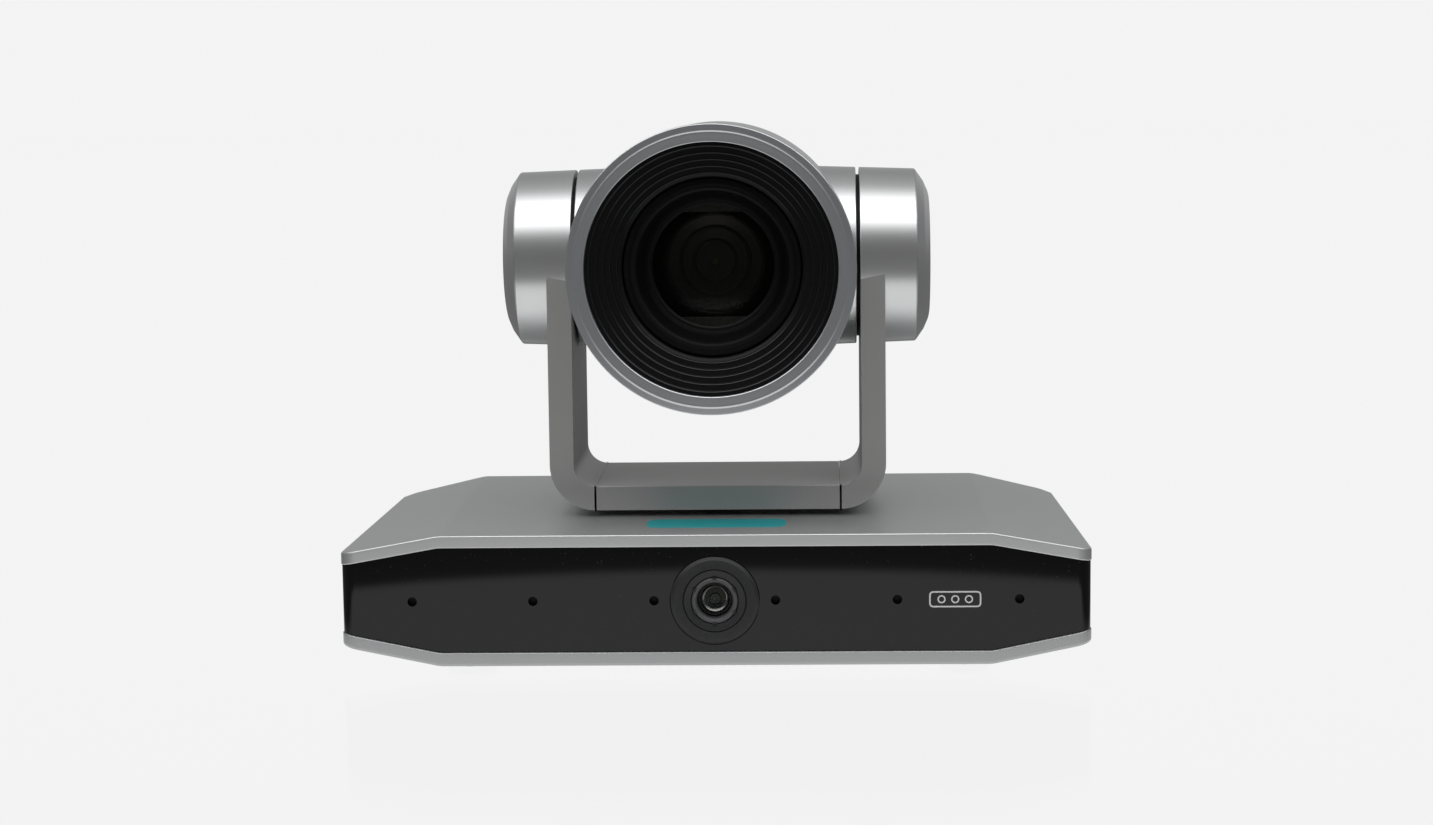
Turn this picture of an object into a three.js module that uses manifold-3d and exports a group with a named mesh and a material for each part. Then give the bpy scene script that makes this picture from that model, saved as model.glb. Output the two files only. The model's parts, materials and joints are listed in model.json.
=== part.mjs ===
// Pan, tilt and zoom camera: a wide low base with a second fixed wide-angle lens, a U-shaped yoke
// that pans on it, and a round zoom camera head that tilts between the two ears of the yoke.
// Millimetres, +Z up, the front faces -Y. The origin is on the ground under the pan axis.
import * as THREE from 'three';
import { mergeVertices } from 'three/addons/utils/BufferGeometryUtils.js';
import Module from 'manifold-3d';

const wasm = await Module();
wasm.setup();

// ---- driving sizes ----
const FIT = 0.3;             // gap between pieces that touch
const RUN = 0.35;            // gap round a shaft that turns
const BASE_W = 276;          // across the tips
const BASE_D = 156;
const FOOT_H = 2;
const TIP_LEN = 36.4;        // length of the slope of the top and the bottom at each tip
const TIP_DROP = 6.5;
const TIP_RISE = 7.5;
const TOP_EDGE = 4.6;        // visible edge of the top cover
const BOTTOM_EDGE = 5.1;
const SKIN = 2.2;
const BAND_IN = 1.5;         // the black band lies this far behind the covers
const BAND_SIDE = 0.3;       // and this far inside them at the tips
const BAND_WALL = 2.5;
const YOKE_T = 9.3;          // thickness of the bent ribbon
const YOKE_D = 66.6;
const YOKE_GAP = 2.2;        // between base and yoke
const YOKE_R = 17.5;         // outer corner radius
const SEAM_IN = 7.8;         // from the inner face of an arm to the seam in the cross bar
const UNDER_AXIS = 85;       // from the cross bar up to the tilt axis
const EAR_R = 33;            // at the crease of the ear cap
const EAR_TAPER = 0.035;     // growth of the ear's radius per millimetre towards the head
const EAR_LEN = 12.4;        // from the outer face of an arm to the crease
const CAP_LEN = 5.4;         // from the crease to the end of the ear
const CAP_SLOPE = 9.4;
const HEAD_GAP = 1;          // between head and ears
const RING_R = 52.9;         // outside of the head's front ring
const RING_WALL = 5.9;
const RING_GAP = 1.4;        // between the front ring and the arms
const RING_Y = -76;          // front of the head
const BARREL_STEP = 0.9;     // the barrel is this much smaller than its ring
const HOOD_STEP = 13.8;      // from the ring's inside to the tube behind the ribs
const LENS_WALL = 5.9;
const HEAD_BACK = 50;
const WALL = 2.4;
const SHAFT_R = 6;
const PAN_SHAFT_R = 8;
const PAN_PULLEY_R = 24;
const PAN_MOTOR_PULLEY_R = 7;
const TILT_PULLEY_R = 12;
const TILT_MOTOR_PULLEY_R = 4;
const BELT_T = 1.1;
const AUX_R = 16.3;
const WEB_UNDER = 2.1;       // of the black band, under the hole for the wide-angle lens
const WEB_OVER = 3.2;        // and over it
const AUX_PROUD = 1.3;       // of the band
const MIC_END = 26.5;        // from the tip to the outermost microphone
const MIC_HOLE_R = 1.55;

const PI = Math.PI;
const FRONT = -BASE_D / 2;
const BACK = BASE_D / 2;
const FLOOR_Z = FOOT_H + FIT;            // underside of the bottom cover
// height of the wide-angle lens and the microphones
const AUX_Z = FLOOR_Z + BOTTOM_EDGE + FIT + WEB_UNDER + FIT + AUX_R;
// height of the flat of the top cover
const BASE_TOP = AUX_Z + AUX_R + FIT + WEB_OVER + FIT + TOP_EDGE;
const YOKE_BOTTOM = BASE_TOP + YOKE_GAP;
const BAR_TOP = YOKE_BOTTOM + YOKE_T;
const TILT_Z = BAR_TOP + UNDER_AXIS;
const ARM_IN = RING_R + RING_GAP;
const ARM_OUT = ARM_IN + YOKE_T;
const SEAM_X = ARM_IN - SEAM_IN;
const CREASE_X = ARM_OUT + EAR_LEN;
const EAR_END = CREASE_X + CAP_LEN;
const HEAD_X = ARM_IN - HEAD_GAP;        // end of each side drum of the head
const BARREL_R = RING_R - BARREL_STEP;
const earR = (x) => EAR_R + (CREASE_X - x) * EAR_TAPER;

// ---- materials ----
function material(color, roughness, metalness) {
  return new THREE.MeshStandardMaterial({ color, roughness, metalness });
}
const silver = material(0x9c9e9d, 0.34, 0.85);
const satin = material(0x909292, 0.42, 0.8);
const gloss = material(0x0b0c0d, 0.12, 0.05);
const matt = material(0x141516, 0.5, 0.1);
const glass = material(0x10141c, 0.05, 0.1);
const steel = material(0xa8aaac, 0.3, 0.95);
const brass = material(0xb0904c, 0.35, 0.95);
const board = material(0x1d4b30, 0.55, 0.05);
const rubber = material(0x161616, 0.85, 0);
const grey = material(0x6d6f70, 0.45, 0.4);

// ---- making solids ----
function solid(geometry) {
  const g = geometry.clone();
  g.deleteAttribute('normal');
  g.deleteAttribute('uv');
  const merged = mergeVertices(g, 1e-4);
  const triVerts = new Uint32Array(merged.index.array);
  const vertProperties = merged.attributes.position.array;
  const made = new wasm.Manifold(new wasm.Mesh({ numProp: 3, vertProperties, triVerts }));
  if (made.volume() >= 0) return made;
  for (let i = 0; i < triVerts.length; i += 3) {
    [triVerts[i + 1], triVerts[i + 2]] = [triVerts[i + 2], triVerts[i + 1]];
  }
  return new wasm.Manifold(new wasm.Mesh({ numProp: 3, vertProperties, triVerts }));
}

function box(x0, x1, y0, y1, z0, z1) {
  const g = new THREE.BoxGeometry(x1 - x0, y1 - y0, z1 - z0);
  return solid(g.translate((x0 + x1) / 2, (y0 + y1) / 2, (z0 + z1) / 2));
}

// Turns geometry made about the Y axis so that its axis is 'x', 'y' or 'z'.
function aim(g, axis) {
  if (axis === 'x') return g.rotateZ(-PI / 2);
  if (axis === 'z') return g.rotateX(PI / 2);
  return g;
}

// A closed profile of [radius, distance along the axis] pairs turned about an axis.
function turned(profile, segments, axis, at = [0, 0, 0]) {
  const points = profile.map(([r, t]) => new THREE.Vector2(r, t));
  if (profile[0][0] > 0) points.push(points[0].clone());
  return solid(aim(new THREE.LatheGeometry(points, segments), axis).translate(...at));
}

function rod(r, t0, t1, segments, axis, at) {
  return turned([[0, t0], [r, t0], [r, t1], [0, t1]], segments, axis, at);
}

function tube(inner, outer, t0, t1, segments, axis, at) {
  return turned([[inner, t0], [outer, t0], [outer, t1], [inner, t1]], segments, axis, at);
}

// A flat outline in X and Y, raised from z0 to z1.
function raised(points, z0, z1) {
  const shape = new THREE.Shape(points.map(([x, y]) => new THREE.Vector2(x, y)));
  const g = new THREE.ExtrudeGeometry(shape, { depth: z1 - z0, bevelEnabled: false });
  return solid(g.translate(0, 0, z0));
}

// A flat outline in X and Z, stretched from y0 to y1.
function stretched(points, y0, y1) {
  const shape = new THREE.Shape(points.map(([x, z]) => new THREE.Vector2(x, z)));
  const g = new THREE.ExtrudeGeometry(shape, { depth: y1 - y0, bevelEnabled: false });
  return solid(g.rotateX(PI / 2).translate(0, y1, 0));
}

function arc(cx, cy, r, from, to, steps) {
  const out = [];
  for (let i = 0; i <= steps; i += 1) {
    const a = from + ((to - from) * i) / steps;
    out.push([cx + r * Math.cos(a), cy + r * Math.sin(a)]);
  }
  return out;
}

// Moves every edge of a convex anticlockwise outline inwards.
function inset(points, d) {
  const n = points.length;
  return points.map((p, i) => {
    const a = points[(i + n - 1) % n];
    const b = points[(i + 1) % n];
    const u = [p[0] - a[0], p[1] - a[1]];
    const v = [b[0] - p[0], b[1] - p[1]];
    const lu = Math.hypot(...u);
    const lv = Math.hypot(...v);
    const nu = [-u[1] / lu, u[0] / lu];
    const nv = [-v[1] / lv, v[0] / lv];
    const k = d / (1 + nu[0] * nv[0] + nu[1] * nv[1]);
    return [p[0] + (nu[0] + nv[0]) * k, p[1] + (nu[1] + nv[1]) * k];
  });
}

const root = new THREE.Group();
function add(name, made, mat) {
  const m = made.getMesh();
  const g = new THREE.BufferGeometry();
  g.setAttribute('position', new THREE.BufferAttribute(new Float32Array(m.vertProperties), 3));
  g.setIndex(new THREE.BufferAttribute(new Uint32Array(m.triVerts), 1));
  g.computeVertexNormals();
  const mesh = new THREE.Mesh(g, mat);
  mesh.name = name;
  root.add(mesh);
}

// ---- base: covers and band ----
const HALF = BASE_W / 2;
const FOLD_X = HALF - TIP_LEN;
const CORNER_R = 6;
function frontCorner(side) {
  const cx = side * (HALF - CORNER_R);
  const from = side > 0 ? -PI / 2 : PI;
  return arc(cx, FRONT + CORNER_R, CORNER_R, from, from + PI / 2, 5);
}
const outline = [
  ...frontCorner(1),
  [HALF - 4.4, BACK - 20],
  [HALF - 8.6, BACK - 12.5],
  [FOLD_X + 3, BACK - 0.8],
  [FOLD_X - 1, BACK],
  [-FOLD_X + 1, BACK],
  [-FOLD_X - 3, BACK - 0.8],
  [-HALF + 8.6, BACK - 12.5],
  [-HALF + 4.4, BACK - 20],
  ...frontCorner(-1),
];

// Heights of the folded top and underside at the fold and past the tips.
const PAST = HALF + 12;
const REACH = (PAST - FOLD_X) / (HALF - FOLD_X);
function layer(level, slope, lower, upper) {
  const out = level + slope * REACH;
  return stretched([
    [-PAST, out + lower],
    [-FOLD_X, level + lower],
    [FOLD_X, level + lower],
    [PAST, out + lower],
    [PAST, out + upper],
    [FOLD_X, level + upper],
    [-FOLD_X, level + upper],
    [-PAST, out + upper],
  ], FRONT - 1, BACK + 1);
}
function between(lower, upper) {
  const low = FLOOR_Z + lower;
  const high = BASE_TOP - upper;
  return stretched([
    [-PAST, low + TIP_RISE * REACH],
    [-FOLD_X, low],
    [FOLD_X, low],
    [PAST, low + TIP_RISE * REACH],
    [PAST, high - TIP_DROP * REACH],
    [FOLD_X, high],
    [-FOLD_X, high],
    [-PAST, high - TIP_DROP * REACH],
  ], FRONT - 1, BACK + 1);
}
function plan(d) {
  return raised(inset(outline, d), -5, BASE_TOP + 10);
}

const BEARING_OUT = 14;
const PLATE_FRONT = -32;     // chassis plate, under the pan pulley
const PLATE_BACK = 30;
const RIM = BAND_IN + BAND_WALL + 0.6;
const topCover = plan(0)
  .intersect(layer(BASE_TOP, -TIP_DROP, -TOP_EDGE, 0))
  .subtract(plan(RIM).intersect(layer(BASE_TOP, -TIP_DROP, -TOP_EDGE - 1, -SKIN)))
  .subtract(rod(BEARING_OUT + FIT, 20, 60, 32, 'z'));
add('base_top_cover', topCover, silver);

const INSERT_R = 5.5;
const bottomCover = plan(0)
  .intersect(layer(FLOOR_Z, TIP_RISE, 0, BOTTOM_EDGE))
  .subtract(plan(RIM).intersect(layer(FLOOR_Z, TIP_RISE, SKIN, BOTTOM_EDGE + 1)))
  .subtract(rod(INSERT_R + FIT, 0, 10, 24, 'z'));
add('base_bottom_cover', bottomCover, silver);

const SPLIT_Y = BACK - 23;
const bandWiden = (HALF - BAND_SIDE) / (HALF - BAND_IN);
const bandOutline = inset(outline, BAND_IN).map(([x, y]) => [x * bandWiden, y]);
const bandShape = raised(bandOutline, -5, BASE_TOP + 10)
  .subtract(raised(inset(bandOutline, BAND_WALL), -5, BASE_TOP + 10))
  .intersect(between(BOTTOM_EDGE + FIT, TOP_EDGE + FIT));
const micX = [-2.5, -1.5, -0.5, 0.5, 1.5, 2.5].map((k) => (k / 2.5) * (HALF - MIC_END));
let frontPanel = bandShape.intersect(box(-PAST, PAST, FRONT - 5, SPLIT_Y, 0, 60));
frontPanel = frontPanel.subtract(rod(AUX_R + FIT, FRONT - 2, FRONT + 8, 40, 'y', [0, 0, AUX_Z]));
for (const x of micX) {
  frontPanel = frontPanel.subtract(rod(MIC_HOLE_R, FRONT - 2, FRONT + 8, 12, 'y', [x, 0, AUX_Z]));
}
add('front_panel', frontPanel, gloss);

// ---- base: rear panel, and three plates in it that hold the ports ----
const PORT_FRONT = BACK - BAND_IN + 0.3;
const PORT_Z = 11.4;
const PORT_DEEP = 15;        // of each port's body
const ports = [
  { name: 'power_port', x: -62, w: 9.5, h: 11, round: 3.2, deep: 8, pin: 1 },
  { name: 'lan_port', x: -38, w: 16, h: 13.6, sw: 11.8, sh: 8, deep: 11 },
  { name: 'hdmi_port', x: -12, w: 15, h: 6.4, sw: 14, sh: 4.6, deep: 8 },
  { name: 'usb_port', x: 12, w: 14.4, h: 7.2, sw: 12.6, sh: 5.2, deep: 9 },
  { name: 'control_port', x: 36, w: 14, h: 13, round: 4.8, deep: 7, pin: 0 },
  { name: 'audio_port', x: 60, w: 9, h: 9, round: 1.8, deep: 10, pin: 0 },
];
const PLATE_SIDE = 8;        // of a port plate, outside its outer ports
const PLATE_FOOT = 1.6;      // and under them
const PLATE_HEAD = 2.4;      // and over the tallest
const plateTop = PORT_Z + Math.max(...ports.map((p) => p.h)) + PLATE_HEAD;
const plateLow = PORT_Z - PLATE_FOOT;
const plateSeams = [
  ports[0].x - ports[0].w / 2 - PLATE_SIDE,
  (ports[1].x + ports[2].x) / 2,
  (ports[3].x + ports[4].x) / 2,
  ports[5].x + ports[5].w / 2 + PLATE_SIDE,
];
const plateWindow = box(
  plateSeams[0] - FIT,
  plateSeams[3] + FIT,
  BACK - 20,
  BACK + 3,
  plateLow - FIT,
  plateTop + FIT,
);
const rearPanel = bandShape
  .intersect(box(-PAST, PAST, SPLIT_Y + FIT, BACK + 5, 0, 60))
  .subtract(plateWindow);
for (const [i, name] of ['left', 'middle', 'right'].entries()) {
  const from = plateSeams[i] + (i ? FIT / 2 : 0);
  const to = plateSeams[i + 1] - (i < 2 ? FIT / 2 : 0);
  const back = BACK - BAND_IN;
  let plate = box(from, to, back - BAND_WALL, back, plateLow, plateTop);
  for (const p of ports.slice(2 * i, 2 * i + 2)) {
    const half = p.w / 2 + FIT;
    plate = plate.subtract(box(p.x - half, p.x + half, back - 9, BACK, PORT_Z - FIT, PORT_Z + p.h + FIT));
  }
  add('port_plate_' + name, plate, matt);
}
for (const p of ports) {
  const half = p.w / 2;
  const top = PORT_Z + p.h;
  let body = box(p.x - half, p.x + half, PORT_FRONT - PORT_DEEP, PORT_FRONT, PORT_Z, top);
  const mid = PORT_Z + p.h / 2;
  const y0 = PORT_FRONT - p.deep;
  if (p.round) {
    body = body.subtract(rod(p.round, y0, PORT_FRONT + 1, 20, 'y', [p.x, 0, mid]));
    if (p.pin) body = body.add(rod(p.pin, y0 - 0.5, PORT_FRONT - 2, 10, 'y', [p.x, 0, mid]));
  } else {
    const a = p.sw / 2;
    const b = p.sh / 2;
    body = body.subtract(box(p.x - a, p.x + a, y0, PORT_FRONT + 1, mid - b, mid + b));
  }
  add(p.name, body, p.round ? matt : steel);
}
add('rear_panel', rearPanel, matt);

// ---- base: boards and microphones ----
const BOARD_T = 1.6;
const BOARD_GAP = 4;         // behind the chassis plate
const MAIN_Z = PORT_Z - FIT - BOARD_T;
const MAIN_Y = BACK - 7;
const MAIN_FRONT = PLATE_BACK + BOARD_GAP;
let mainBoard = box(-76, 76, MAIN_FRONT, MAIN_Y, MAIN_Z, MAIN_Z + BOARD_T);
const CHIP_EDGE = 2.5;       // from the chips to the board's front edge and to the ports
const chips = [
  { x: -40, w: 20, h: 2.2 },
  { x: -8, w: 16, h: 1.8 },
  { x: 22, w: 14, h: 1.6 },
  { x: 50, w: 11, h: 3 },
];
const chipFront = MAIN_FRONT + CHIP_EDGE;
const chipBack = PORT_FRONT - PORT_DEEP - CHIP_EDGE;
for (const c of chips) {
  const top = MAIN_Z + BOARD_T + c.h;
  mainBoard = mainBoard.add(box(c.x - c.w / 2, c.x + c.w / 2, chipFront, chipBack, MAIN_Z + 1, top));
}
add('main_board', mainBoard, board);

const PANEL_BACK = FRONT + BAND_IN + BAND_WALL;
const MIC_LEN = 3.6;
const MIC_BOARD_IN = 2.2;    // from the bezel to the microphone boards
const MIC_Y = PANEL_BACK + FIT;
micX.forEach((x, i) => {
  add('microphone_' + (i + 1), rod(2.6, MIC_Y, MIC_Y + MIC_LEN, 16, 'y', [x, 0, AUX_Z]), steel);
});
const MIC_BOARD_Y = MIC_Y + MIC_LEN + FIT;
for (const [name, side] of [['left', -1], ['right', 1]]) {
  const ends = [side * (AUX_R + MIC_BOARD_IN), side * (micX[5] + 7.5)].sort((a, b) => a - b);
  const strip = box(ends[0], ends[1], MIC_BOARD_Y, MIC_BOARD_Y + BOARD_T, AUX_Z - 7, AUX_Z + 7);
  add('mic_board_' + name, strip, board);
}

// ---- base: wide-angle lens ----
const AUX_BARREL_R = 8.5;
const AUX_GLASS_R = 6.4;
const AUX_AT = [0, 0, AUX_Z];
const BEZEL_Y = FRONT + BAND_IN - AUX_PROUD;
add('aux_lens_bezel', turned([
  [AUX_BARREL_R + FIT, BEZEL_Y + 1.4],
  [10.4, BEZEL_Y + 0.5],
  [11.3, BEZEL_Y + 0.3],
  [11.5, BEZEL_Y + 0.7],
  [11.9, BEZEL_Y + 0.1],
  [AUX_R - 1.4, BEZEL_Y],
  [AUX_R, BEZEL_Y + 1.2],
  [AUX_R, BEZEL_Y + 9],
  [AUX_BARREL_R + FIT, BEZEL_Y + 9],
], 36, 'y', AUX_AT), matt);
let auxBarrel = turned([
  [AUX_GLASS_R + FIT, BEZEL_Y + 0.4],
  [AUX_BARREL_R - 0.5, BEZEL_Y],
  [AUX_BARREL_R, BEZEL_Y + 0.6],
  [AUX_BARREL_R, BEZEL_Y + 16],
  [4.5, BEZEL_Y + 16],
  [4.5, BEZEL_Y + 7],
  [AUX_GLASS_R + FIT, BEZEL_Y + 7],
], 24, 'y', AUX_AT);
for (let i = 0; i < 6; i += 1) {
  const a = (i * PI) / 3 + PI / 6;
  const at = [Math.cos(a) * AUX_BARREL_R, 0, AUX_Z + Math.sin(a) * AUX_BARREL_R];
  auxBarrel = auxBarrel.subtract(rod(0.9, BEZEL_Y - 1, BEZEL_Y + 1.2, 8, 'y', at));
}
add('aux_lens_barrel', auxBarrel, grey);
add('aux_lens_glass', turned([
  [0, BEZEL_Y + 1.6],
  [2.4, BEZEL_Y + 1.8],
  [4.6, BEZEL_Y + 2.5],
  [AUX_GLASS_R, BEZEL_Y + 3.8],
  [AUX_GLASS_R, BEZEL_Y + 6.6],
  [0, BEZEL_Y + 6.6],
], 24, 'y', AUX_AT), glass);
const AUX_BOARD_Y = BEZEL_Y + 16 + FIT;
add('aux_sensor_board', box(-13, 13, AUX_BOARD_Y, AUX_BOARD_Y + BOARD_T, AUX_Z - 13, AUX_Z + 13), board);

// ---- base: feet and tripod insert ----
const FOOT_R = 9;
const FOOT_X = HALF - 46;
const FOOT_Y = BACK - 20;
const feet = [[-FOOT_X, -FOOT_Y], [FOOT_X, -FOOT_Y], [-FOOT_X, FOOT_Y], [FOOT_X, FOOT_Y]];
feet.forEach(([x, y], i) => {
  const profile = [[0, 0], [FOOT_R - 0.6, 0], [FOOT_R, 0.6], [FOOT_R, FOOT_H], [0, FOOT_H]];
  const foot = turned(profile, 20, 'z', [x, y, 0]);
  add('foot_' + (i + 1), foot, rubber);
});
add('tripod_insert', tube(3.15, INSERT_R, FLOOR_Z, FLOOR_Z + 11, 24, 'z'), brass);

// ---- pan drive ----
const PULLEY_TOP = BASE_TOP - SKIN - 5.6;
const PULLEY_H = 6;
const PULLEY_BOTTOM = PULLEY_TOP - PULLEY_H;
const MOTOR_AT = [-(PAN_PULLEY_R + PAN_MOTOR_PULLEY_R + 17), -12, 0];
const PLATE_T = 1.8;
const PLATE_TOP = PULLEY_BOTTOM - 0.5;
const PLATE_BOTTOM = PLATE_TOP - PLATE_T;
const PAN_MOTOR_R = 17.5;
const plateEnds = [MOTOR_AT[0] - 30, 34];
let plate = box(plateEnds[0], plateEnds[1], PLATE_FRONT, PLATE_BACK, PLATE_BOTTOM, PLATE_TOP);
for (const x of [plateEnds[0] + 4, plateEnds[1] - 4]) {
  for (const y of [PLATE_FRONT + 4, PLATE_BACK - 4]) {
    plate = plate.add(rod(3, FLOOR_Z + SKIN + FIT, PLATE_BOTTOM + 0.5, 12, 'z', [x, y, 0]));
  }
}
plate = plate.subtract(rod(PAN_SHAFT_R + 3, 20, 50, 24, 'z'));
plate = plate.subtract(rod(4, 20, 50, 16, 'z', MOTOR_AT));
add('chassis_plate', plate, steel);
const motorTop = PLATE_BOTTOM - FIT;
add('pan_motor', rod(PAN_MOTOR_R, motorTop - 20, motorTop, 28, 'z', MOTOR_AT)
  .add(rod(2.5, motorTop - 1, PULLEY_TOP, 16, 'z', MOTOR_AT)), grey);
const panPinion = tube(2.5 + RUN, PAN_MOTOR_PULLEY_R, PULLEY_BOTTOM, PULLEY_TOP, 24, 'z', MOTOR_AT);
add('pan_motor_pulley', panPinion, steel);
add('pan_shaft', tube(5, PAN_SHAFT_R, PLATE_BOTTOM - 4, YOKE_BOTTOM - FIT, 28, 'z'), steel);
add('pan_pulley', tube(PAN_SHAFT_R + FIT, PAN_PULLEY_R, PULLEY_BOTTOM, PULLEY_TOP, 32, 'z'), matt);
const panBearing = tube(PAN_SHAFT_R + RUN, BEARING_OUT, PULLEY_TOP + 0.6, BASE_TOP - 0.6, 32, 'z');
add('pan_bearing', panBearing, steel);

// A belt is the band round two circles: the hull of the outer ones less the hull of the inner ones.
function belt(r1, r2, at2, t0, t1, axis) {
  const centre = axis === 'z' ? [0, 0, 0] : [0, 0, TILT_Z];
  const hull = (extra, a, b) => wasm.Manifold.hull([
    rod(r1 + extra, a, b, 32, axis, centre),
    rod(r2 + extra, a, b, 16, axis, at2),
  ]);
  return hull(FIT + BELT_T, t0, t1).subtract(hull(FIT, t0 - 1, t1 + 1));
}
const panBeltSpan = [PULLEY_BOTTOM + 0.6, PULLEY_TOP - 0.6];
const panBelt = belt(PAN_PULLEY_R, PAN_MOTOR_PULLEY_R, MOTOR_AT, ...panBeltSpan, 'z');
add('pan_belt', panBelt, rubber);

// ---- yoke ----
const BAR_R_IN = YOKE_R - YOKE_T;
const ribbon = [
  ...arc(ARM_OUT - YOKE_R, YOKE_BOTTOM + YOKE_R, YOKE_R, -PI / 2, 0, 8),
  [ARM_OUT, TILT_Z],
  [ARM_IN, TILT_Z],
  ...arc(ARM_IN - BAR_R_IN, BAR_TOP + BAR_R_IN, BAR_R_IN, 0, -PI / 2, 6),
  ...arc(BAR_R_IN - ARM_IN, BAR_TOP + BAR_R_IN, BAR_R_IN, -PI / 2, -PI, 6),
  [-ARM_IN, TILT_Z],
  [-ARM_OUT, TILT_Z],
  ...arc(YOKE_R - ARM_OUT, YOKE_BOTTOM + YOKE_R, YOKE_R, -PI, -PI / 2, 8),
];
const yoke = stretched(ribbon, -YOKE_D / 2, YOKE_D / 2);
const AXIS_AT = [0, 0, TILT_Z];
const TILT_BEARING_R = 8.7;
const EAR_IN = EAR_R - WALL;             // inside of the hollow ear
const CAP_IN = EAR_END - 2;
for (const [name, side] of [['left', -1], ['right', 1]]) {
  const s = (profile) => profile.map(([r, t]) => [r, side * t]);
  const ear = turned(s([
    [0, ARM_IN],
    [earR(ARM_IN), ARM_IN],
    [EAR_R, CREASE_X - FIT],
    [EAR_IN, CREASE_X - FIT],
    [EAR_IN, ARM_OUT],
    [0, ARM_OUT],
  ]), 32, 'x', AXIS_AT);
  const ends = [side * (SEAM_X + FIT / 2), side * 2 * ARM_OUT].sort((a, b) => a - b);
  const bore = s([[0, 0], [TILT_BEARING_R + FIT, 0], [TILT_BEARING_R + FIT, EAR_END], [0, EAR_END]]);
  const arm = yoke
    .intersect(box(ends[0], ends[1], -YOKE_D, YOKE_D, 0, 2 * TILT_Z))
    .add(ear)
    .subtract(turned(bore, 24, 'x', AXIS_AT));
  add('yoke_' + name + '_arm', arm, satin);
  const bearing = s([[SHAFT_R + RUN, ARM_IN + 0.3], [TILT_BEARING_R, ARM_IN + 0.3],
    [TILT_BEARING_R, ARM_OUT - 0.3], [SHAFT_R + RUN, ARM_OUT - 0.3]]);
  add('tilt_bearing_' + name, turned(bearing, 24, 'x', AXIS_AT), steel);
  const cap = turned(s([
    [EAR_R, CREASE_X],
    [EAR_R - CAP_SLOPE, EAR_END],
    [0, EAR_END],
    [0, CAP_IN],
    [EAR_R - CAP_SLOPE - 2, CAP_IN],
    [EAR_IN - FIT - 1.6, CREASE_X - 2],
    [EAR_IN - FIT, CREASE_X - 2],
    [EAR_IN - FIT, CREASE_X],
  ]), 32, 'x', AXIS_AT);
  add(name + '_ear_cap', cap, silver);
}
const bar = yoke.intersect(box(-SEAM_X + FIT / 2, SEAM_X - FIT / 2, -YOKE_D, YOKE_D, 0, TILT_Z));
add('yoke_cross_bar', bar.subtract(rod(4.8, 40, 70, 20, 'z')), satin);

// ---- tilt drive in the right ear ----
const TILT_MOTOR_AT = [0, 0, TILT_Z - 18];
const TILT_BELT_X = CAP_IN - 6;
const TILT_BELT_END = CAP_IN - 1;
const TILT_MOTOR_X = ARM_OUT + 0.7;
add('tilt_motor', rod(9, TILT_MOTOR_X, TILT_BELT_X - 0.8, 24, 'x', TILT_MOTOR_AT)
  .add(rod(1.2, TILT_BELT_X - 2, TILT_BELT_END, 10, 'x', TILT_MOTOR_AT)), grey);
const tiltSpan = [TILT_BELT_X, TILT_BELT_END];
const tiltBeltSpan = [TILT_BELT_X + 0.5, TILT_BELT_END - 0.5];
const tiltPinion = tube(1.2 + RUN, TILT_MOTOR_PULLEY_R, ...tiltSpan, 18, 'x', TILT_MOTOR_AT);
add('tilt_motor_pulley', tiltPinion, steel);
add('tilt_pulley', tube(SHAFT_R + FIT, TILT_PULLEY_R, ...tiltSpan, 32, 'x', AXIS_AT), matt);
const tiltBelt = belt(TILT_PULLEY_R, TILT_MOTOR_PULLEY_R, TILT_MOTOR_AT, ...tiltBeltSpan, 'x');
add('tilt_belt', tiltBelt, rubber);

// ---- head: shells ----
const NOSE = RING_Y + 10;                // front edge of the shell, behind the front ring
const DOME_Y = 8;
const HEAD_SPLIT = 9;
const DOME_STEPS = 6;
function headBody(grow) {
  const r = BARREL_R + grow;
  const front = NOSE + grow * 0.5 - (grow < 0 ? 6 : 0);
  const profile = [[0, front], [r, front]];
  const deep = HEAD_BACK + grow - DOME_Y;
  for (let i = 0; i < DOME_STEPS; i += 1) {
    const a = (i * PI) / (2 * DOME_STEPS);
    profile.push([r * Math.cos(a), DOME_Y + deep * Math.sin(a)]);
  }
  profile.push([0, DOME_Y + deep]);
  const drumEnd = HEAD_X + grow;
  const drumR = earR(HEAD_X) + grow;
  const drum = turned([
    [0, -drumEnd],
    [drumR - 0.8, -drumEnd],
    [drumR, -drumEnd + 0.8],
    [earR(0) + grow, 0],
    [drumR, drumEnd - 0.8],
    [drumR - 0.8, drumEnd],
    [0, drumEnd],
  ], 32, 'x', AXIS_AT);
  return turned(profile, 40, 'y', AXIS_AT).add(drum);
}
const headShell = headBody(0)
  .subtract(headBody(-WALL))
  .subtract(rod(SHAFT_R + FIT, -70, 70, 24, 'x', AXIS_AT));
const frontHalf = box(-2 * RING_R, 2 * RING_R, 2 * RING_Y, HEAD_SPLIT, 0, 2 * TILT_Z);
const rearHalf = box(-2 * RING_R, 2 * RING_R, HEAD_SPLIT + FIT, 2 * HEAD_BACK, 0, 2 * TILT_Z);
add('head_front_shell', headShell.intersect(frontHalf), satin);
add('head_rear_shell', headShell.intersect(rearHalf), satin);

const RING_IN = RING_R - RING_WALL;
const RING_BACK = NOSE - FIT;
add('front_ring', turned([
  [RING_IN, RING_BACK],
  [RING_IN, RING_Y + 3.4],
  [RING_IN + 0.5, RING_Y + 1.6],
  [RING_IN + 1.6, RING_Y + 0.4],
  [RING_IN + 2.9, RING_Y],
  [RING_R - 0.5, RING_Y + 0.25],
  [RING_R, RING_Y + 0.8],
  [RING_R, RING_BACK],
], 48, 'y', AXIS_AT), silver);

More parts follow.
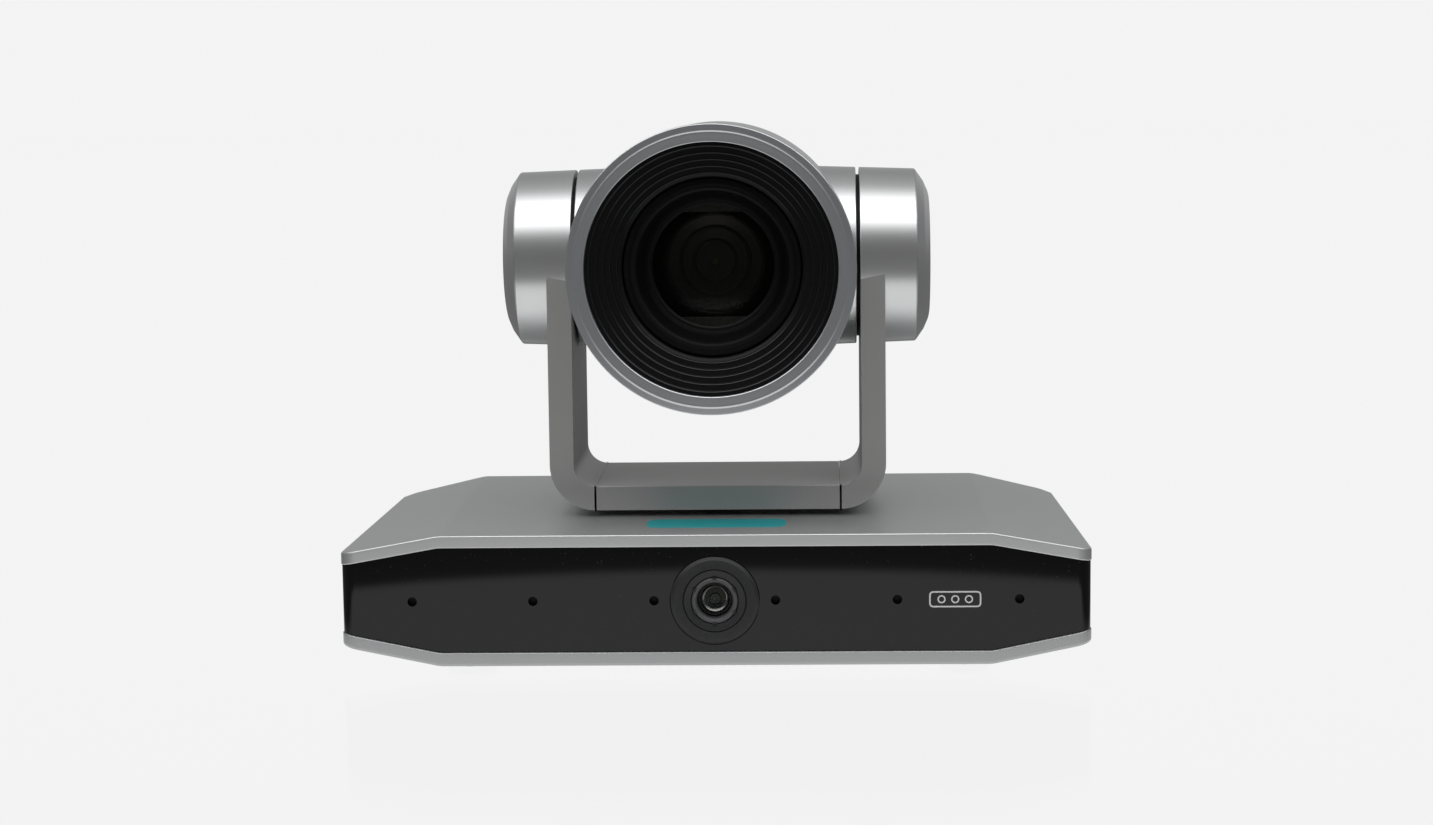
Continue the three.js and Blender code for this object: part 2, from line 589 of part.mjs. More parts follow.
// ---- head: ribbed hood and lens ----
const HOOD_R = [2.5, 5, 7.5, 9.9, 12.4].map((step) => RING_IN - step);
const HOOD_Y = RING_Y + 2.4;
const RIB_STEP = 1.8;
const TUBE_R = RING_IN - HOOD_STEP;
const HOOD_END = RING_Y + 22;
const hoodInner = [[RING_IN - FIT, HOOD_Y]];
HOOD_R.forEach((r, i) => {
  hoodInner.push([r + 0.5, HOOD_Y + 0.4 + i * RIB_STEP]);
  hoodInner.push([r, HOOD_Y + 0.4 + (i + 0.9) * RIB_STEP]);
});
hoodInner.push([TUBE_R, HOOD_Y + 9.6]);
hoodInner.push([TUBE_R, HOOD_END]);
hoodInner.push([TUBE_R + 1.6, HOOD_END]);
hoodInner.push([TUBE_R + 1.6, HOOD_Y + 12]);
hoodInner.push([RING_IN - FIT, RING_BACK - 0.6]);
add('lens_hood', turned(hoodInner, 40, 'y', AXIS_AT), gloss);

const LENS_FRONT = RING_Y + 26;
const LENS_TUBE_R = TUBE_R - FIT;
const LENS_IN = LENS_TUBE_R - LENS_WALL;
const LENS_R = LENS_IN - 3;
const LENS_TUBE_END = 16;
add('lens_barrel', turned([
  [LENS_TUBE_R - 3.1, RING_Y + 14.5],
  [LENS_TUBE_R - 1.3, RING_Y + 13.8],
  [LENS_TUBE_R, RING_Y + 14.5],
  [LENS_TUBE_R, LENS_TUBE_END],
  [LENS_IN, LENS_TUBE_END],
  [LENS_IN, LENS_FRONT + 7],
  [LENS_R + FIT, LENS_FRONT + 7],
  [LENS_R + FIT, LENS_FRONT - 1.5],
  [LENS_IN - 0.8, LENS_FRONT - 2],
], 32, 'y', AXIS_AT), matt);
add('lens_front_glass', turned([
  [0, LENS_FRONT - 3.4],
  [LENS_R * 0.33, LENS_FRONT - 2.9],
  [LENS_R * 0.67, LENS_FRONT - 1.4],
  [LENS_R - 3, LENS_FRONT + 0.4],
  [LENS_R, LENS_FRONT + 1.8],
  [LENS_R, LENS_FRONT + 6.6],
  [0, LENS_FRONT + 6.6],
], 32, 'y', AXIS_AT), glass);

// Sliding groups: a ring with its lens, running inside the barrel.
const GROUP_R = LENS_IN - RUN;
function group(front, lensR, bulge) {
  return turned([
    [0, front - bulge],
    [lensR * 0.6, front - bulge * 0.6],
    [lensR, front + 0.4],
    [GROUP_R, front],
    [GROUP_R, front + 7],
    [0, front + 5],
  ], 28, 'y', AXIS_AT);
}
const ZOOM_Y = -26;
const FOCUS_Y = -4;
add('zoom_group', group(ZOOM_Y, GROUP_R - 8.6, 2.5), matt);
add('focus_group', group(FOCUS_Y, GROUP_R - 12.6, 2), matt);
const SENSOR_Y = LENS_TUBE_END + FIT;
add('sensor_board', box(-27, 27, SENSOR_Y, SENSOR_Y + BOARD_T, TILT_Z - 22, TILT_Z + 22)
  .add(box(-8, 8, SENSOR_Y - 4, SENSOR_Y + 0.5, TILT_Z - 6, TILT_Z + 6)), board);

// ---- head: tilt shafts, each with a flange inside the head ----
for (const [name, side, end] of [['left', -1, ARM_OUT + 5], ['right', 1, TILT_BELT_END]]) {
  const flange = HEAD_X - WALL - FIT;
  const shaft = turned([
    [2.5, side * (flange - 3)],
    [11, side * (flange - 3)],
    [11, side * flange],
    [SHAFT_R, side * flange],
    [SHAFT_R, side * end],
    [2.5, side * end],
  ], 24, 'x', AXIS_AT);
  add('tilt_shaft_' + name, shaft, steel);
}

export default root;
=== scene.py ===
"""Pan, tilt and zoom camera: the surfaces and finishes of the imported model."""
import json
import math

import bmesh
import bpy
from mathutils import Matrix, Vector


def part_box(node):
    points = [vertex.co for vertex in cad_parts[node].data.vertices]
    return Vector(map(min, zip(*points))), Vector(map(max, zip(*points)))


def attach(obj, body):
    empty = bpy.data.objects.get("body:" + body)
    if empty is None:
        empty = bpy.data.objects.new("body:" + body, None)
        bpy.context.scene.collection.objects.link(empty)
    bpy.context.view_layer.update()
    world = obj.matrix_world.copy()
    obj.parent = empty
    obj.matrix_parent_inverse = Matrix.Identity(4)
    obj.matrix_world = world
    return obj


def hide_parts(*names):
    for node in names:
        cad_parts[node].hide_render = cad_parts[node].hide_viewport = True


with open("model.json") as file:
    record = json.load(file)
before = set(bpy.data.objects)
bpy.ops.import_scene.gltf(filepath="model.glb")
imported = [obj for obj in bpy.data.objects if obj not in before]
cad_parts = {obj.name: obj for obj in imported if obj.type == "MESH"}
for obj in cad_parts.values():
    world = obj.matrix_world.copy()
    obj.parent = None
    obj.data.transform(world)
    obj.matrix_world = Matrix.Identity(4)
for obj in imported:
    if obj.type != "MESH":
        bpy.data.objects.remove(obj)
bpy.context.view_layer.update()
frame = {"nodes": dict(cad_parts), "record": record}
MM = 0.001


# ---------------------------------------------------------------- places taken from the frame
def span(node):
    """Lowest and highest corner of a node in millimetres."""
    low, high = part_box(node)
    return [v / MM for v in low], [v / MM for v in high]


def middle(node):
    """Middle of a node in millimetres."""
    return [(a + b) / 2 for a, b in zip(*span(node))]


top_low, top_high = span("base_top_cover")
under_low, _ = span("base_bottom_cover")
band_low, band_high = span("front_panel")
rear_low, _ = span("rear_panel")
bezel_low, bezel_high = span("aux_lens_bezel")
arm_low, _ = span("yoke_right_arm")
cap_low, cap_high = span("right_ear_cap")
bar_low, bar_high = span("yoke_cross_bar")
ring_low, ring_high = span("front_ring")
shell_low, shell_high = span("head_front_shell")
_, back_high = span("head_rear_shell")
zoom_low, zoom_high = span("zoom_group")

HALF, FRONT, BACK = top_high[0], top_low[1], top_high[1]
TOP, UNDER = top_high[2], under_low[2]
BAND_IN = band_low[1] - FRONT
TIP_LENGTH = 36.4
FOLD_X, FOLD_EASE = HALF - TIP_LENGTH, 1.6
TOP_EDGE, UNDER_EDGE, LIP = 4.6, 5.1, 4.2
DROP, RISE = 6.5, 7.5
AUX_Z, AUX_Y = (bezel_low[2] + bezel_high[2]) / 2, bezel_low[1]
AUX_R = (bezel_high[0] - bezel_low[0]) / 2
MIC_X = [middle(f"microphone_{i}")[0] for i in range(1, 7)]
CAP_OVER, EAR_MORE, ARM_FOOT = 2, 0.25, 7.95
CREASE, EAR_END = cap_low[0] + CAP_OVER, cap_high[0]
EAR_R, TILT_Z = (cap_high[2] - cap_low[2]) / 2 + EAR_MORE, (cap_high[2] + cap_low[2]) / 2
ARM_IN, YOKE_T = arm_low[0] + ARM_FOOT, bar_high[2] - bar_low[2]
ARM_OUT = ARM_IN + YOKE_T
RING_R, RING_Y, RING_BACK = ring_high[0], ring_low[1], ring_high[1]
BARREL_R = shell_high[2] - TILT_Z
HEAD_X, HEAD_SPLIT, HEAD_BACK = shell_high[0], shell_high[1], back_high[1]
AXIS = (0, 0, TILT_Z)
AUX = (0, 0, AUX_Z)
EAR_TAPER = 0.035


def ear_radius(x):
    """Radius at x of the cone that runs through ears and head."""
    return EAR_R + (CREASE - x) * EAR_TAPER


# ---------------------------------------------------------------- node graphs
class Sock:
    """An output socket; its operators add Math nodes to the graph."""

    def __init__(self, graph, out):
        self.graph, self.out = graph, out

    def _math(self, operation, a, b):
        return self.graph.node("ShaderNodeMath", {"operation": operation}, {0: a, 1: b})

    def __add__(self, other):
        return self._math("ADD", self, other)

    def __radd__(self, other):
        return self._math("ADD", other, self)

    def __sub__(self, other):
        return self._math("SUBTRACT", self, other)

    def __rsub__(self, other):
        return self._math("SUBTRACT", other, self)

    def __mul__(self, other):
        return self._math("MULTIPLY", self, other)

    def __rmul__(self, other):
        return self._math("MULTIPLY", other, self)

    def __truediv__(self, other):
        return self._math("DIVIDE", self, other)

    def __abs__(self):
        return self._math("ABSOLUTE", self, 0.0)

    def angle_to(self, other):
        """Angle of the point (other, self) seen from the origin."""
        return self._math("ARCTAN2", self, other)

    def step(self, low, high):
        """0 below low, 1 above high, eased between."""
        return self.graph.node(
            "ShaderNodeMapRange", {"interpolation_type": "SMOOTHSTEP", "clamp": True},
            {"Value": self, "From Min": low, "From Max": high, "To Min": 0.0, "To Max": 1.0},
        )


class Graph:
    """A node tree that is written by calls."""

    def __init__(self, tree):
        self.tree = tree

    def node(self, kind, settings=None, inputs=None, out=0):
        """Adds a node: its settings first, then the values or links of its sockets."""
        made = self.tree.nodes.new(kind)
        for key, value in (settings or {}).items():
            if key == "stops":
                ramp = made.color_ramp
                ramp.elements.remove(ramp.elements[1])
                for i, (at, colour) in enumerate(value):
                    stop = ramp.elements[0] if i == 0 else ramp.elements.new(at)
                    stop.position, stop.color = at, (*colour, 1)
            else:
                setattr(made, key, value)
        for key, value in (inputs or {}).items():
            if isinstance(value, Sock):
                self.tree.links.new(value.out, made.inputs[key])
            elif value is not None:
                made.inputs[key].default_value = value
        return Sock(self, made.outputs[out]) if len(made.outputs) else None

    def place(self):
        return self.node("ShaderNodeTexCoord", out="Object")

    def parts(self, vector):
        made = self.node("ShaderNodeSeparateXYZ", {}, {0: vector})
        return [Sock(self, made.out.node.outputs[i]) for i in range(3)]

    def noise(self, at, scale, detail=2.0, rough=0.5):
        return self.node("ShaderNodeTexNoise", {}, {
            "Vector": at, "Scale": scale, "Detail": detail, "Roughness": rough})

    def mix(self, share, a, b):
        a, b = [v if isinstance(v, Sock) else (*v, 1) for v in (a, b)]
        return self.node("ShaderNodeMix", {"data_type": "RGBA"}, {0: share, 6: a, 7: b}, out=2)

    def bump(self, height, depth, strength=1.0):
        return self.node("ShaderNodeBump", {}, {
            "Height": height, "Distance": depth, "Strength": strength})


def material(name):
    made = bpy.data.materials.new(name)
    made.use_nodes = True
    made.node_tree.nodes.clear()
    return made, Graph(made.node_tree)


def surface(graph, shader):
    graph.node("ShaderNodeOutputMaterial", {}, {"Surface": shader})


def principled(graph, **sockets):
    names = {"colour": "Base Color", "rough": "Roughness", "metal": "Metallic", "normal": "Normal",
             "spec": "Specular IOR Level"}
    inputs = {}
    for key, value in sockets.items():
        plain_colour = key == "colour" and not isinstance(value, Sock)
        inputs[names[key]] = (*value, 1) if plain_colour else value
    return graph.node("ShaderNodeBsdfPrincipled", {}, inputs)


def plain_paint(name, dark, light, scale, rough):
    """Even paint with a faint mottle."""
    made, g = material(name)
    surface(g, principled(g, colour=g.mix(g.noise(g.place(), scale, 2), dark, light), rough=rough))
    return made


def satin_metal(name, colour, rough, metal=0.9, grain=2400):
    """Fine sprayed silver: soft clouds in the gloss and a grain too fine to see one by one."""
    made, g = material(name)
    at = g.place()
    cloud = g.noise(at, 22, 4)
    fine = g.noise(at, grain, 2)
    fleck = g.noise(at, grain * 2.3, 0).step(0.56, 0.72)
    darker = tuple(c * 0.97 for c in colour)
    brighter = tuple(min(1, c * 1.07) for c in colour)
    base = g.mix(fleck * 0.5, g.mix(cloud, darker, colour), brighter)
    surface(g, principled(g, colour=base, metal=metal, rough=rough - 0.03 + cloud * 0.03 + fine * 0.03,
                          normal=g.bump(fine, 0.000006, 0.3)))
    return made


def black_gloss(name, colour, rough):
    """Clear moulded black with a few fine rubs and specks of dust in its gloss."""
    made, g = material(name)
    at = g.place()
    cloud = g.noise(at, 14, 3)
    rub = g.noise(at, 160, 5, 0.7).step(0.62, 0.75)
    speck = g.noise(at, 1300, 0).step(0.82, 0.85)
    base = g.mix(speck * 0.25, colour, (0.05, 0.05, 0.05))
    surface(g, principled(g, colour=base, rough=rough + cloud * 0.03 + rub * 0.03 + speck * 0.2, spec=0.34,
                          normal=g.bump(cloud, 0.00004, 0.1)))
    return made


def black_matt(name, colour, rough, depth=0.00003, scale=1500, spec=0.5):
    """Fine spark-eroded texture of a moulded or painted black part."""
    made, g = material(name)
    at = g.place()
    grain = g.noise(at, scale, 3, 0.6)
    cloud = g.noise(at, 30, 2)
    base = g.mix(grain.step(0.35, 0.75), colour, tuple(c * 1.5 for c in colour))
    surface(g, principled(g, colour=base, rough=rough - 0.05 + cloud * 0.06 + grain * 0.06, spec=spec,
                          normal=g.bump(grain, depth, 0.5)))
    return made


def turned_metal(name, colour, rough):
    """Bare machined metal with fine tool marks."""
    made, g = material(name)
    at = g.place()
    marks = g.noise(g.node("ShaderNodeMapping", {}, {"Vector": at, "Scale": (1, 1, 12)}), 900, 3)
    stain = g.noise(at, 60, 4)
    base = g.mix(stain, tuple(c * 0.85 for c in colour), colour)
    surface(g, principled(g, colour=base, metal=1.0, rough=rough + stain * 0.08 + marks * 0.05,
                          normal=g.bump(marks, 0.00001, 0.4)))
    return made


def circuit_board(name):
    """Green solder mask with copper tracks under it."""
    made, g = material(name)
    at = g.place()
    tracks = g.node("ShaderNodeTexVoronoi", {"distance": "CHEBYCHEV", "feature": "F1"},
                    {"Vector": at, "Scale": 260})
    line = tracks.step(0.32, 0.36)
    base = g.mix(line, (0.02, 0.13, 0.05), (0.03, 0.2, 0.08))
    surface(g, principled(g, colour=base, rough=0.35 + line * 0.1, normal=g.bump(line, 0.00003, 0.4)))
    return made


def soft_rubber(name):
    """Dull black rubber with a coarse grain."""
    made, g = material(name)
    at = g.place()
    grain = g.noise(at, 1100, 4, 0.65)
    base = g.mix(grain, (0.012, 0.012, 0.012), (0.03, 0.03, 0.03))
    surface(g, principled(g, colour=base, rough=0.7 + grain * 0.15, normal=g.bump(grain, 0.00005, 0.6)))
    return made


def coated_glass(name, tint, share):
    """A thin coated lens surface: mostly clear, with its gloss growing towards the rim."""
    made, g = material(name)
    at = g.place()
    rim = g.node("ShaderNodeLayerWeight", {}, {"Blend": 0.25}, out="Facing")
    film = g.noise(at, 40, 2)
    gloss = principled(g, colour=g.mix(film, tint, tuple(c * 0.6 for c in tint)), rough=0.03 + film * 0.02,
                       metal=0.4)
    clear = g.node("ShaderNodeBsdfTransparent", {}, {"Color": (0.8, 0.8, 0.78, 1)})
    surface(g, g.node("ShaderNodeMixShader", {}, {0: rim * (share * 5) + share, 1: clear, 2: gloss}))
    return made


silver = satin_metal("cover_silver", (0.58, 0.59, 0.59), 0.42)
under_silver = satin_metal("under_silver", (0.38, 0.385, 0.39), 0.45)
yoke_silver = satin_metal("yoke_silver", (0.43, 0.43, 0.425), 0.42, 0.55)
ear_silver = satin_metal("ear_silver", (0.66, 0.665, 0.67), 0.3)
ring_silver = satin_metal("ring_silver", (0.57, 0.58, 0.6), 0.32)
gloss_black = black_gloss("band_black", (0.0025, 0.0022, 0.0028), 0.04)
hood_black = black_matt("hood_black", (0.0045, 0.0045, 0.005), 0.36, 0.00001, 1500, 0.16)
rib_black = black_matt("rib_black", (0.005, 0.005, 0.0055), 0.22, 0.000004, 1500, 0.6)
tube_black = black_matt("tube_black", (0.004, 0.004, 0.0045), 0.4, 0.00001, 1500, 0.14)
bezel_black = black_matt("bezel_black", (0.011, 0.0115, 0.0115), 0.46, 0.00003, 1500, 0.35)
plate_black = black_matt("plate_black", (0.022, 0.023, 0.024), 0.5, 0.00005, 900)
mask_black = black_matt("mask_black", (0.075, 0.077, 0.078), 0.5, 0.00003, 900)
deep_black = black_matt("baffle_black", (0.003, 0.003, 0.0035), 0.5, 0.00001, 1500, 0.2)
bowl_black = black_matt("bowl_black", (0.006, 0.0065, 0.0065), 0.14, 0.000002, 1500, 0.4)
bowl_coating = satin_metal("bowl_coating", (0.42, 0.43, 0.44), 0.12, 0.9)
iris_ring = black_matt("iris_ring", (0.05, 0.06, 0.055), 0.2, 0.000002, 1500, 0.8)
aux_grey = satin_metal("aux_grey", (0.06, 0.06, 0.064), 0.48, 0.3)
holder_grey = satin_metal("holder_grey", (0.2, 0.2, 0.215), 0.4, 0.5)
bright_steel = turned_metal("bright_steel", (0.62, 0.63, 0.64), 0.25)
turned_brass = turned_metal("turned_brass", (0.6, 0.45, 0.2), 0.28)
contact_gold = turned_metal("contact_gold", (0.8, 0.58, 0.22), 0.22)
board_green = circuit_board("board_green")
rubber = soft_rubber("foot_rubber")
lens_glass = coated_glass("lens_glass", (0.05, 0.055, 0.05), 0.05)
aux_glass = coated_glass("aux_glass", (0.16, 0.17, 0.2), 0.025)
teal = plain_paint("mark_teal", (0.0, 0.3, 0.32), (0.0, 0.36, 0.38), 300, 0.4)
pale = plain_paint("mark_grey", (0.5, 0.5, 0.5), (0.56, 0.56, 0.56), 500, 0.5)
# dark olive paint for a painted glint: it stands for a small reflection in the inner lens elements
iris_green = plain_paint("iris_green", (0.05, 0.07, 0.01), (0.09, 0.1, 0.02), 600, 0.2)


# ---------------------------------------------------------------- mesh helpers
WELD = 1e-4


def rounded(points, radius, closed=True, steps=4):
    """Puts a small arc in each corner of a flat outline."""
    out = []
    n = len(points)
    for i, p in enumerate(points):
        if not closed and i in (0, n - 1):
            out.append(tuple(p))
            continue
        a, b, c = Vector(points[i - 1]), Vector(p), Vector(points[(i + 1) % n])
        u, v = a - b, c - b
        reach = min(radius, u.length * 0.45, v.length * 0.45)
        bend = math.pi - u.angle(v)
        if bend < 0.12 or reach < WELD:
            out.append(tuple(p))
            continue
        start, end = b + u.normalized() * reach, b + v.normalized() * reach
        for k in range(steps + 1):
            t = k / steps
            out.append(tuple((1 - t) ** 2 * start + 2 * t * (1 - t) * b + t * t * end))
    return out


def shaded(made, sharp=35):
    """The object's mesh with its modifiers applied, smooth, with flat faces that stay flat."""
    flat = bpy.data.meshes.new_from_object(made.evaluated_get(bpy.context.evaluated_depsgraph_get()))
    made.modifiers.clear()
    for face in flat.polygons:
        face.use_smooth = True
    flat.set_sharp_from_angle(angle=math.radians(sharp))
    made.data = flat
    weigh = made.modifiers.new("weigh", "WEIGHTED_NORMAL")
    weigh.keep_sharp, weigh.weight = True, 90
    flat = bpy.data.meshes.new_from_object(made.evaluated_get(bpy.context.evaluated_depsgraph_get()))
    made.modifiers.clear()
    return flat


def finished(name, bm, finish, body, replaced=(), sharp=35):
    """Turns a bmesh drawn in millimetres into a piece that rides on a body."""
    bmesh.ops.remove_doubles(bm, verts=bm.verts, dist=WELD)
    bmesh.ops.recalc_face_normals(bm, faces=bm.faces)
    mesh = bpy.data.meshes.new(name)
    bmesh.ops.scale(bm, vec=(MM,) * 3, verts=bm.verts)
    bm.to_mesh(mesh)
    bm.free()
    mesh.materials.append(finish)
    made = bpy.data.objects.new(name, mesh)
    bpy.context.scene.collection.objects.link(made)
    made.data = shaded(made, sharp)
    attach(made, body)
    if replaced:
        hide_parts(*replaced)
    return made


def aim(axis, r, t, angle):
    """A point at radius r and angle round an axis, t along it."""
    c, s = r * math.cos(angle), r * math.sin(angle)
    return {"x": (t, c, s), "y": (c, t, s), "z": (c, s, t)}[axis]


def turn(bm, profile, axis, centre=(0, 0, 0), segments=128, closed=True):
    """Adds a profile of (radius, distance) pairs turned about an axis through centre."""
    loops = []
    for r, t in profile:
        count = 1 if r < 1e-6 else segments
        loops.append([bm.verts.new([a + b for a, b in zip(centre, aim(axis, r, t, math.tau * k / segments))])
                      for k in range(count)])
    pairs = list(zip(loops, loops[1:]))
    if closed:
        pairs.append((loops[-1], loops[0]))
    for a, b in pairs:
        for k in range(segments):
            j = (k + 1) % segments
            corners = [a[k % len(a)], a[j % len(a)], b[j % len(b)], b[k % len(b)]]
            corners = list(dict.fromkeys(corners))
            if len(corners) > 2:
                bm.faces.new(corners)
    return bm


def placed(r, t, profile):
    """Profile points moved out by r and along by t."""
    return [(r + a, t + b) for a, b in profile]


def turned(name, profile, axis, centre, finish, body, replaced=(), soften=0.25, segments=128,
           sharp=35):
    """A piece made by turning a profile with its corners softened."""
    bm = turn(bmesh.new(), rounded(profile, soften), axis, centre, segments)
    return finished(name, bm, finish, body, replaced, sharp)


def shrunk(outline, d):
    """A convex or gently curved anticlockwise outline moved inwards by d."""
    out = []
    n = len(outline)
    for i, p in enumerate(outline):
        a, b, c = Vector(outline[i - 1]), Vector(p), Vector(outline[(i + 1) % n])
        u, v = (b - a).normalized(), (c - b).normalized()
        nu, nv = Vector((-u.y, u.x)), Vector((-v.y, v.x))
        out.append(tuple(b + (nu + nv) * (d / max(0.3, 1 + nu.dot(nv)))))
    return out


def slab(outline, sections, bm=None, caps=(True, True)):
    """A solid of stacked outlines: sections are (inset, height) pairs from one end to the other."""
    bm = bm or bmesh.new()
    loops = [[bm.verts.new((x, y, z)) for x, y in shrunk(outline, d)] for d, z in sections]
    n = len(outline)
    for a, b in zip(loops, loops[1:]):
        for k in range(n):
            bm.faces.new((a[k], a[(k + 1) % n], b[(k + 1) % n], b[k]))
    if caps[0]:
        bm.faces.new(loops[0][::-1])
    if caps[1]:
        bm.faces.new(loops[-1])
    return bm


def lower_round(r, z=0, steps=6):
    """Section of a rounded lower edge, from its foot out to the side."""
    turns = [math.pi / 2 * k / steps for k in range(steps + 1)]
    return [(r - r * math.sin(a), z + r - r * math.cos(a)) for a in turns]


def upper_round(r, z, steps=6):
    """Section of a rounded upper edge that ends at height z."""
    turns = [math.pi / 2 * k / steps for k in range(steps + 1)]
    return [(r - r * math.cos(a), z - r + r * math.sin(a)) for a in turns]


def upright(shape, y0, y1, ease=0):
    """An outline in X and Z made solid from y0 to y1, with its edges eased."""
    sections = [*lower_round(ease, y0, 4), *upper_round(ease, y1, 4)] if ease else [(0, y0), (0, y1)]
    bm = slab(shape, [(d, -y) for d, y in reversed(sections)])
    bmesh.ops.rotate(bm, verts=bm.verts, matrix=Matrix.Rotation(math.pi / 2, 3, "X"))
    return bm


def oblong(x0, x1, z0, z1):
    return [(x0, z0), (x1, z0), (x1, z1), (x0, z1)]


def joined(*parts):
    """One bmesh out of several."""
    whole = bmesh.new()
    for part in parts:
        spare = bpy.data.meshes.new("spare")
        part.to_mesh(spare)
        part.free()
        whole.from_mesh(spare)
    return whole


def clipped(bm, y, normal):
    """Takes away what lies past y on the side of the normal and closes the cut."""
    parts = bm.verts[:] + bm.edges[:] + bm.faces[:]
    bmesh.ops.bisect_plane(bm, geom=parts, plane_co=(0, y, 0), plane_no=(0, normal, 0), clear_outer=True, dist=WELD)
    rest = [e for e in bm.edges if len(e.link_faces) == 1]
    if rest:
        bmesh.ops.edgeloop_fill(bm, edges=rest)


def arc(cx, cy, r, start, end, steps):
    """Points along a part of a circle, both ends included."""
    return [(cx + r * math.cos(a), cy + r * math.sin(a))
            for a in [start + (end - start) * k / steps for k in range(steps + 1)]]


def cut_by(target, tools, sharp=35):
    """Takes closed cutter objects away from a piece's mesh and removes them."""
    for tool in tools:
        m = target.modifiers.new("cut", "BOOLEAN")
        m.object, m.operation, m.solver = tool, "DIFFERENCE", "EXACT"
    target.data = shaded(target, sharp)
    for tool in tools:
        bpy.data.objects.remove(tool)


def cutter(bm):
    """A closed solid as an object for cut_by."""
    bmesh.ops.recalc_face_normals(bm, faces=bm.faces)
    bmesh.ops.scale(bm, vec=(MM,) * 3, verts=bm.verts)
    mesh = bpy.data.meshes.new("cutter")
    bm.to_mesh(mesh)
    bm.free()
    made = bpy.data.objects.new("cutter", mesh)
    bpy.context.scene.collection.objects.link(made)
    return made


def drill(r, t0, t1, axis, centre, segments):
    """A round cutter of radius r from t0 to t1 along an axis."""
    return cutter(turn(bmesh.new(), [(0, t0), (r, t0), (r, t1), (0, t1)], axis, centre, segments, closed=False))


# ---------------------------------------------------------------- repeats, as geometry nodes
def repeat_tree(name, finish, draw, sizes):
    """A geometry node tree with named sizes; draw(graph, inputs) returns the geometry to keep."""
    tree = bpy.data.node_groups.new(name, "GeometryNodeTree")
    tree.interface.new_socket("Geometry", in_out="INPUT", socket_type="NodeSocketGeometry")
    for label, kind in sizes.items():
        tree.interface.new_socket(label, in_out="INPUT", socket_type="NodeSocket" + kind)
    tree.interface.new_socket("Geometry", in_out="OUTPUT", socket_type="NodeSocketGeometry")
    g = Graph(tree)
    entry = tree.nodes.new("NodeGroupInput")
    inputs = {socket.name: Sock(g, socket) for socket in entry.outputs if socket.name}
    real = g.node("GeometryNodeRealizeInstances", {}, {0: draw(g, inputs)})
    real = g.node("GeometryNodeSetMaterial", {}, {"Geometry": real, "Material": finish})
    g.node("NodeGroupOutput", {}, {0: real})
    return tree


def repeated(name, tree, values, body, points=None, shift=None):
    """Runs a tree on a mesh of points and keeps the result as a plain piece."""
    mesh = bpy.data.meshes.new(name)
    mesh.from_pydata([tuple(v * MM for v in p) for p in points or [(0, 0, 0)]], [], [])
    made = bpy.data.objects.new(name, mesh)
    bpy.context.scene.collection.objects.link(made)
    modifier = made.modifiers.new("repeat", "NODES")
    modifier.node_group = tree
    for socket in tree.interface.items_tree:
        if socket.in_out == "INPUT" and socket.name in values:
            modifier[socket.identifier] = values[socket.name]
    flat = bpy.data.meshes.new_from_object(made.evaluated_get(bpy.context.evaluated_depsgraph_get()))
    made.modifiers.clear()
    made.data = flat
    if shift is not None:
        flat.transform(shift)
    for face in flat.polygons:
        face.use_smooth = True
    flat.set_sharp_from_angle(angle=math.radians(35))
    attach(made, body)
    return made


def draw_rings(g, inputs):
    """Count rings about Z, each Radius Step wider or narrower and Height Step further along."""
    line = g.node("GeometryNodeMeshLine", {"mode": "OFFSET"}, {
        "Count": inputs["Count"],
        "Start Location": (0, 0, 0),
        "Offset": g.node("ShaderNodeCombineXYZ", {}, {2: inputs["Height Step"]})})
    circle = g.node("GeometryNodeCurvePrimitiveCircle", {}, {"Resolution": 160, "Radius": 1.0})
    index = g.node("GeometryNodeInputIndex")
    radius = inputs["Radius"] + index * inputs["Radius Step"]
    placed = g.node("GeometryNodeInstanceOnPoints", {}, {
        "Points": line, "Instance": circle,
        "Scale": g.node("ShaderNodeCombineXYZ", {}, {0: radius, 1: radius, 2: 1.0})})
    wire = g.node("GeometryNodeCurvePrimitiveCircle", {}, {"Resolution": 10, "Radius": inputs["Wire"]})
    curves = g.node("GeometryNodeRealizeInstances", {}, {0: placed})
    return g.node("GeometryNodeCurveToMesh", {}, {"Curve": curves, "Profile Curve": wire})


def draw_screws(g, inputs):
    """A pan-head screw with a cross recess on every point, its head up Z."""
    head = g.node("GeometryNodeMeshCylinder", {}, {
        "Vertices": 24, "Radius": inputs["Radius"], "Depth": inputs["Height"]})
    bars = []
    for scale in ((1.1, 0.26, 0.5), (0.26, 1.1, 0.5)):
        size = g.node("ShaderNodeVectorMath", {"operation": "MULTIPLY"}, {
            0: g.node("ShaderNodeCombineXYZ", {}, {
                0: inputs["Radius"], 1: inputs["Radius"], 2: inputs["Height"]}), 1: scale})
        block = g.node("GeometryNodeMeshCube", {}, {"Size": size})
        bars.append(g.node("GeometryNodeTransform", {}, {
            0: block, "Translation": g.node("ShaderNodeCombineXYZ", {}, {2: inputs["Height"] * 0.5})}))
    cross = g.node("GeometryNodeMeshBoolean", {"operation": "DIFFERENCE"}, {0: head, 1: bars[0]})
    cross = g.node("GeometryNodeMeshBoolean", {"operation": "DIFFERENCE"}, {0: cross, 1: bars[1]})
    points = g.node("GeometryNodeMeshToPoints", {}, {0: inputs["Geometry"]})
    return g.node("GeometryNodeInstanceOnPoints", {}, {"Points": points, "Instance": cross})


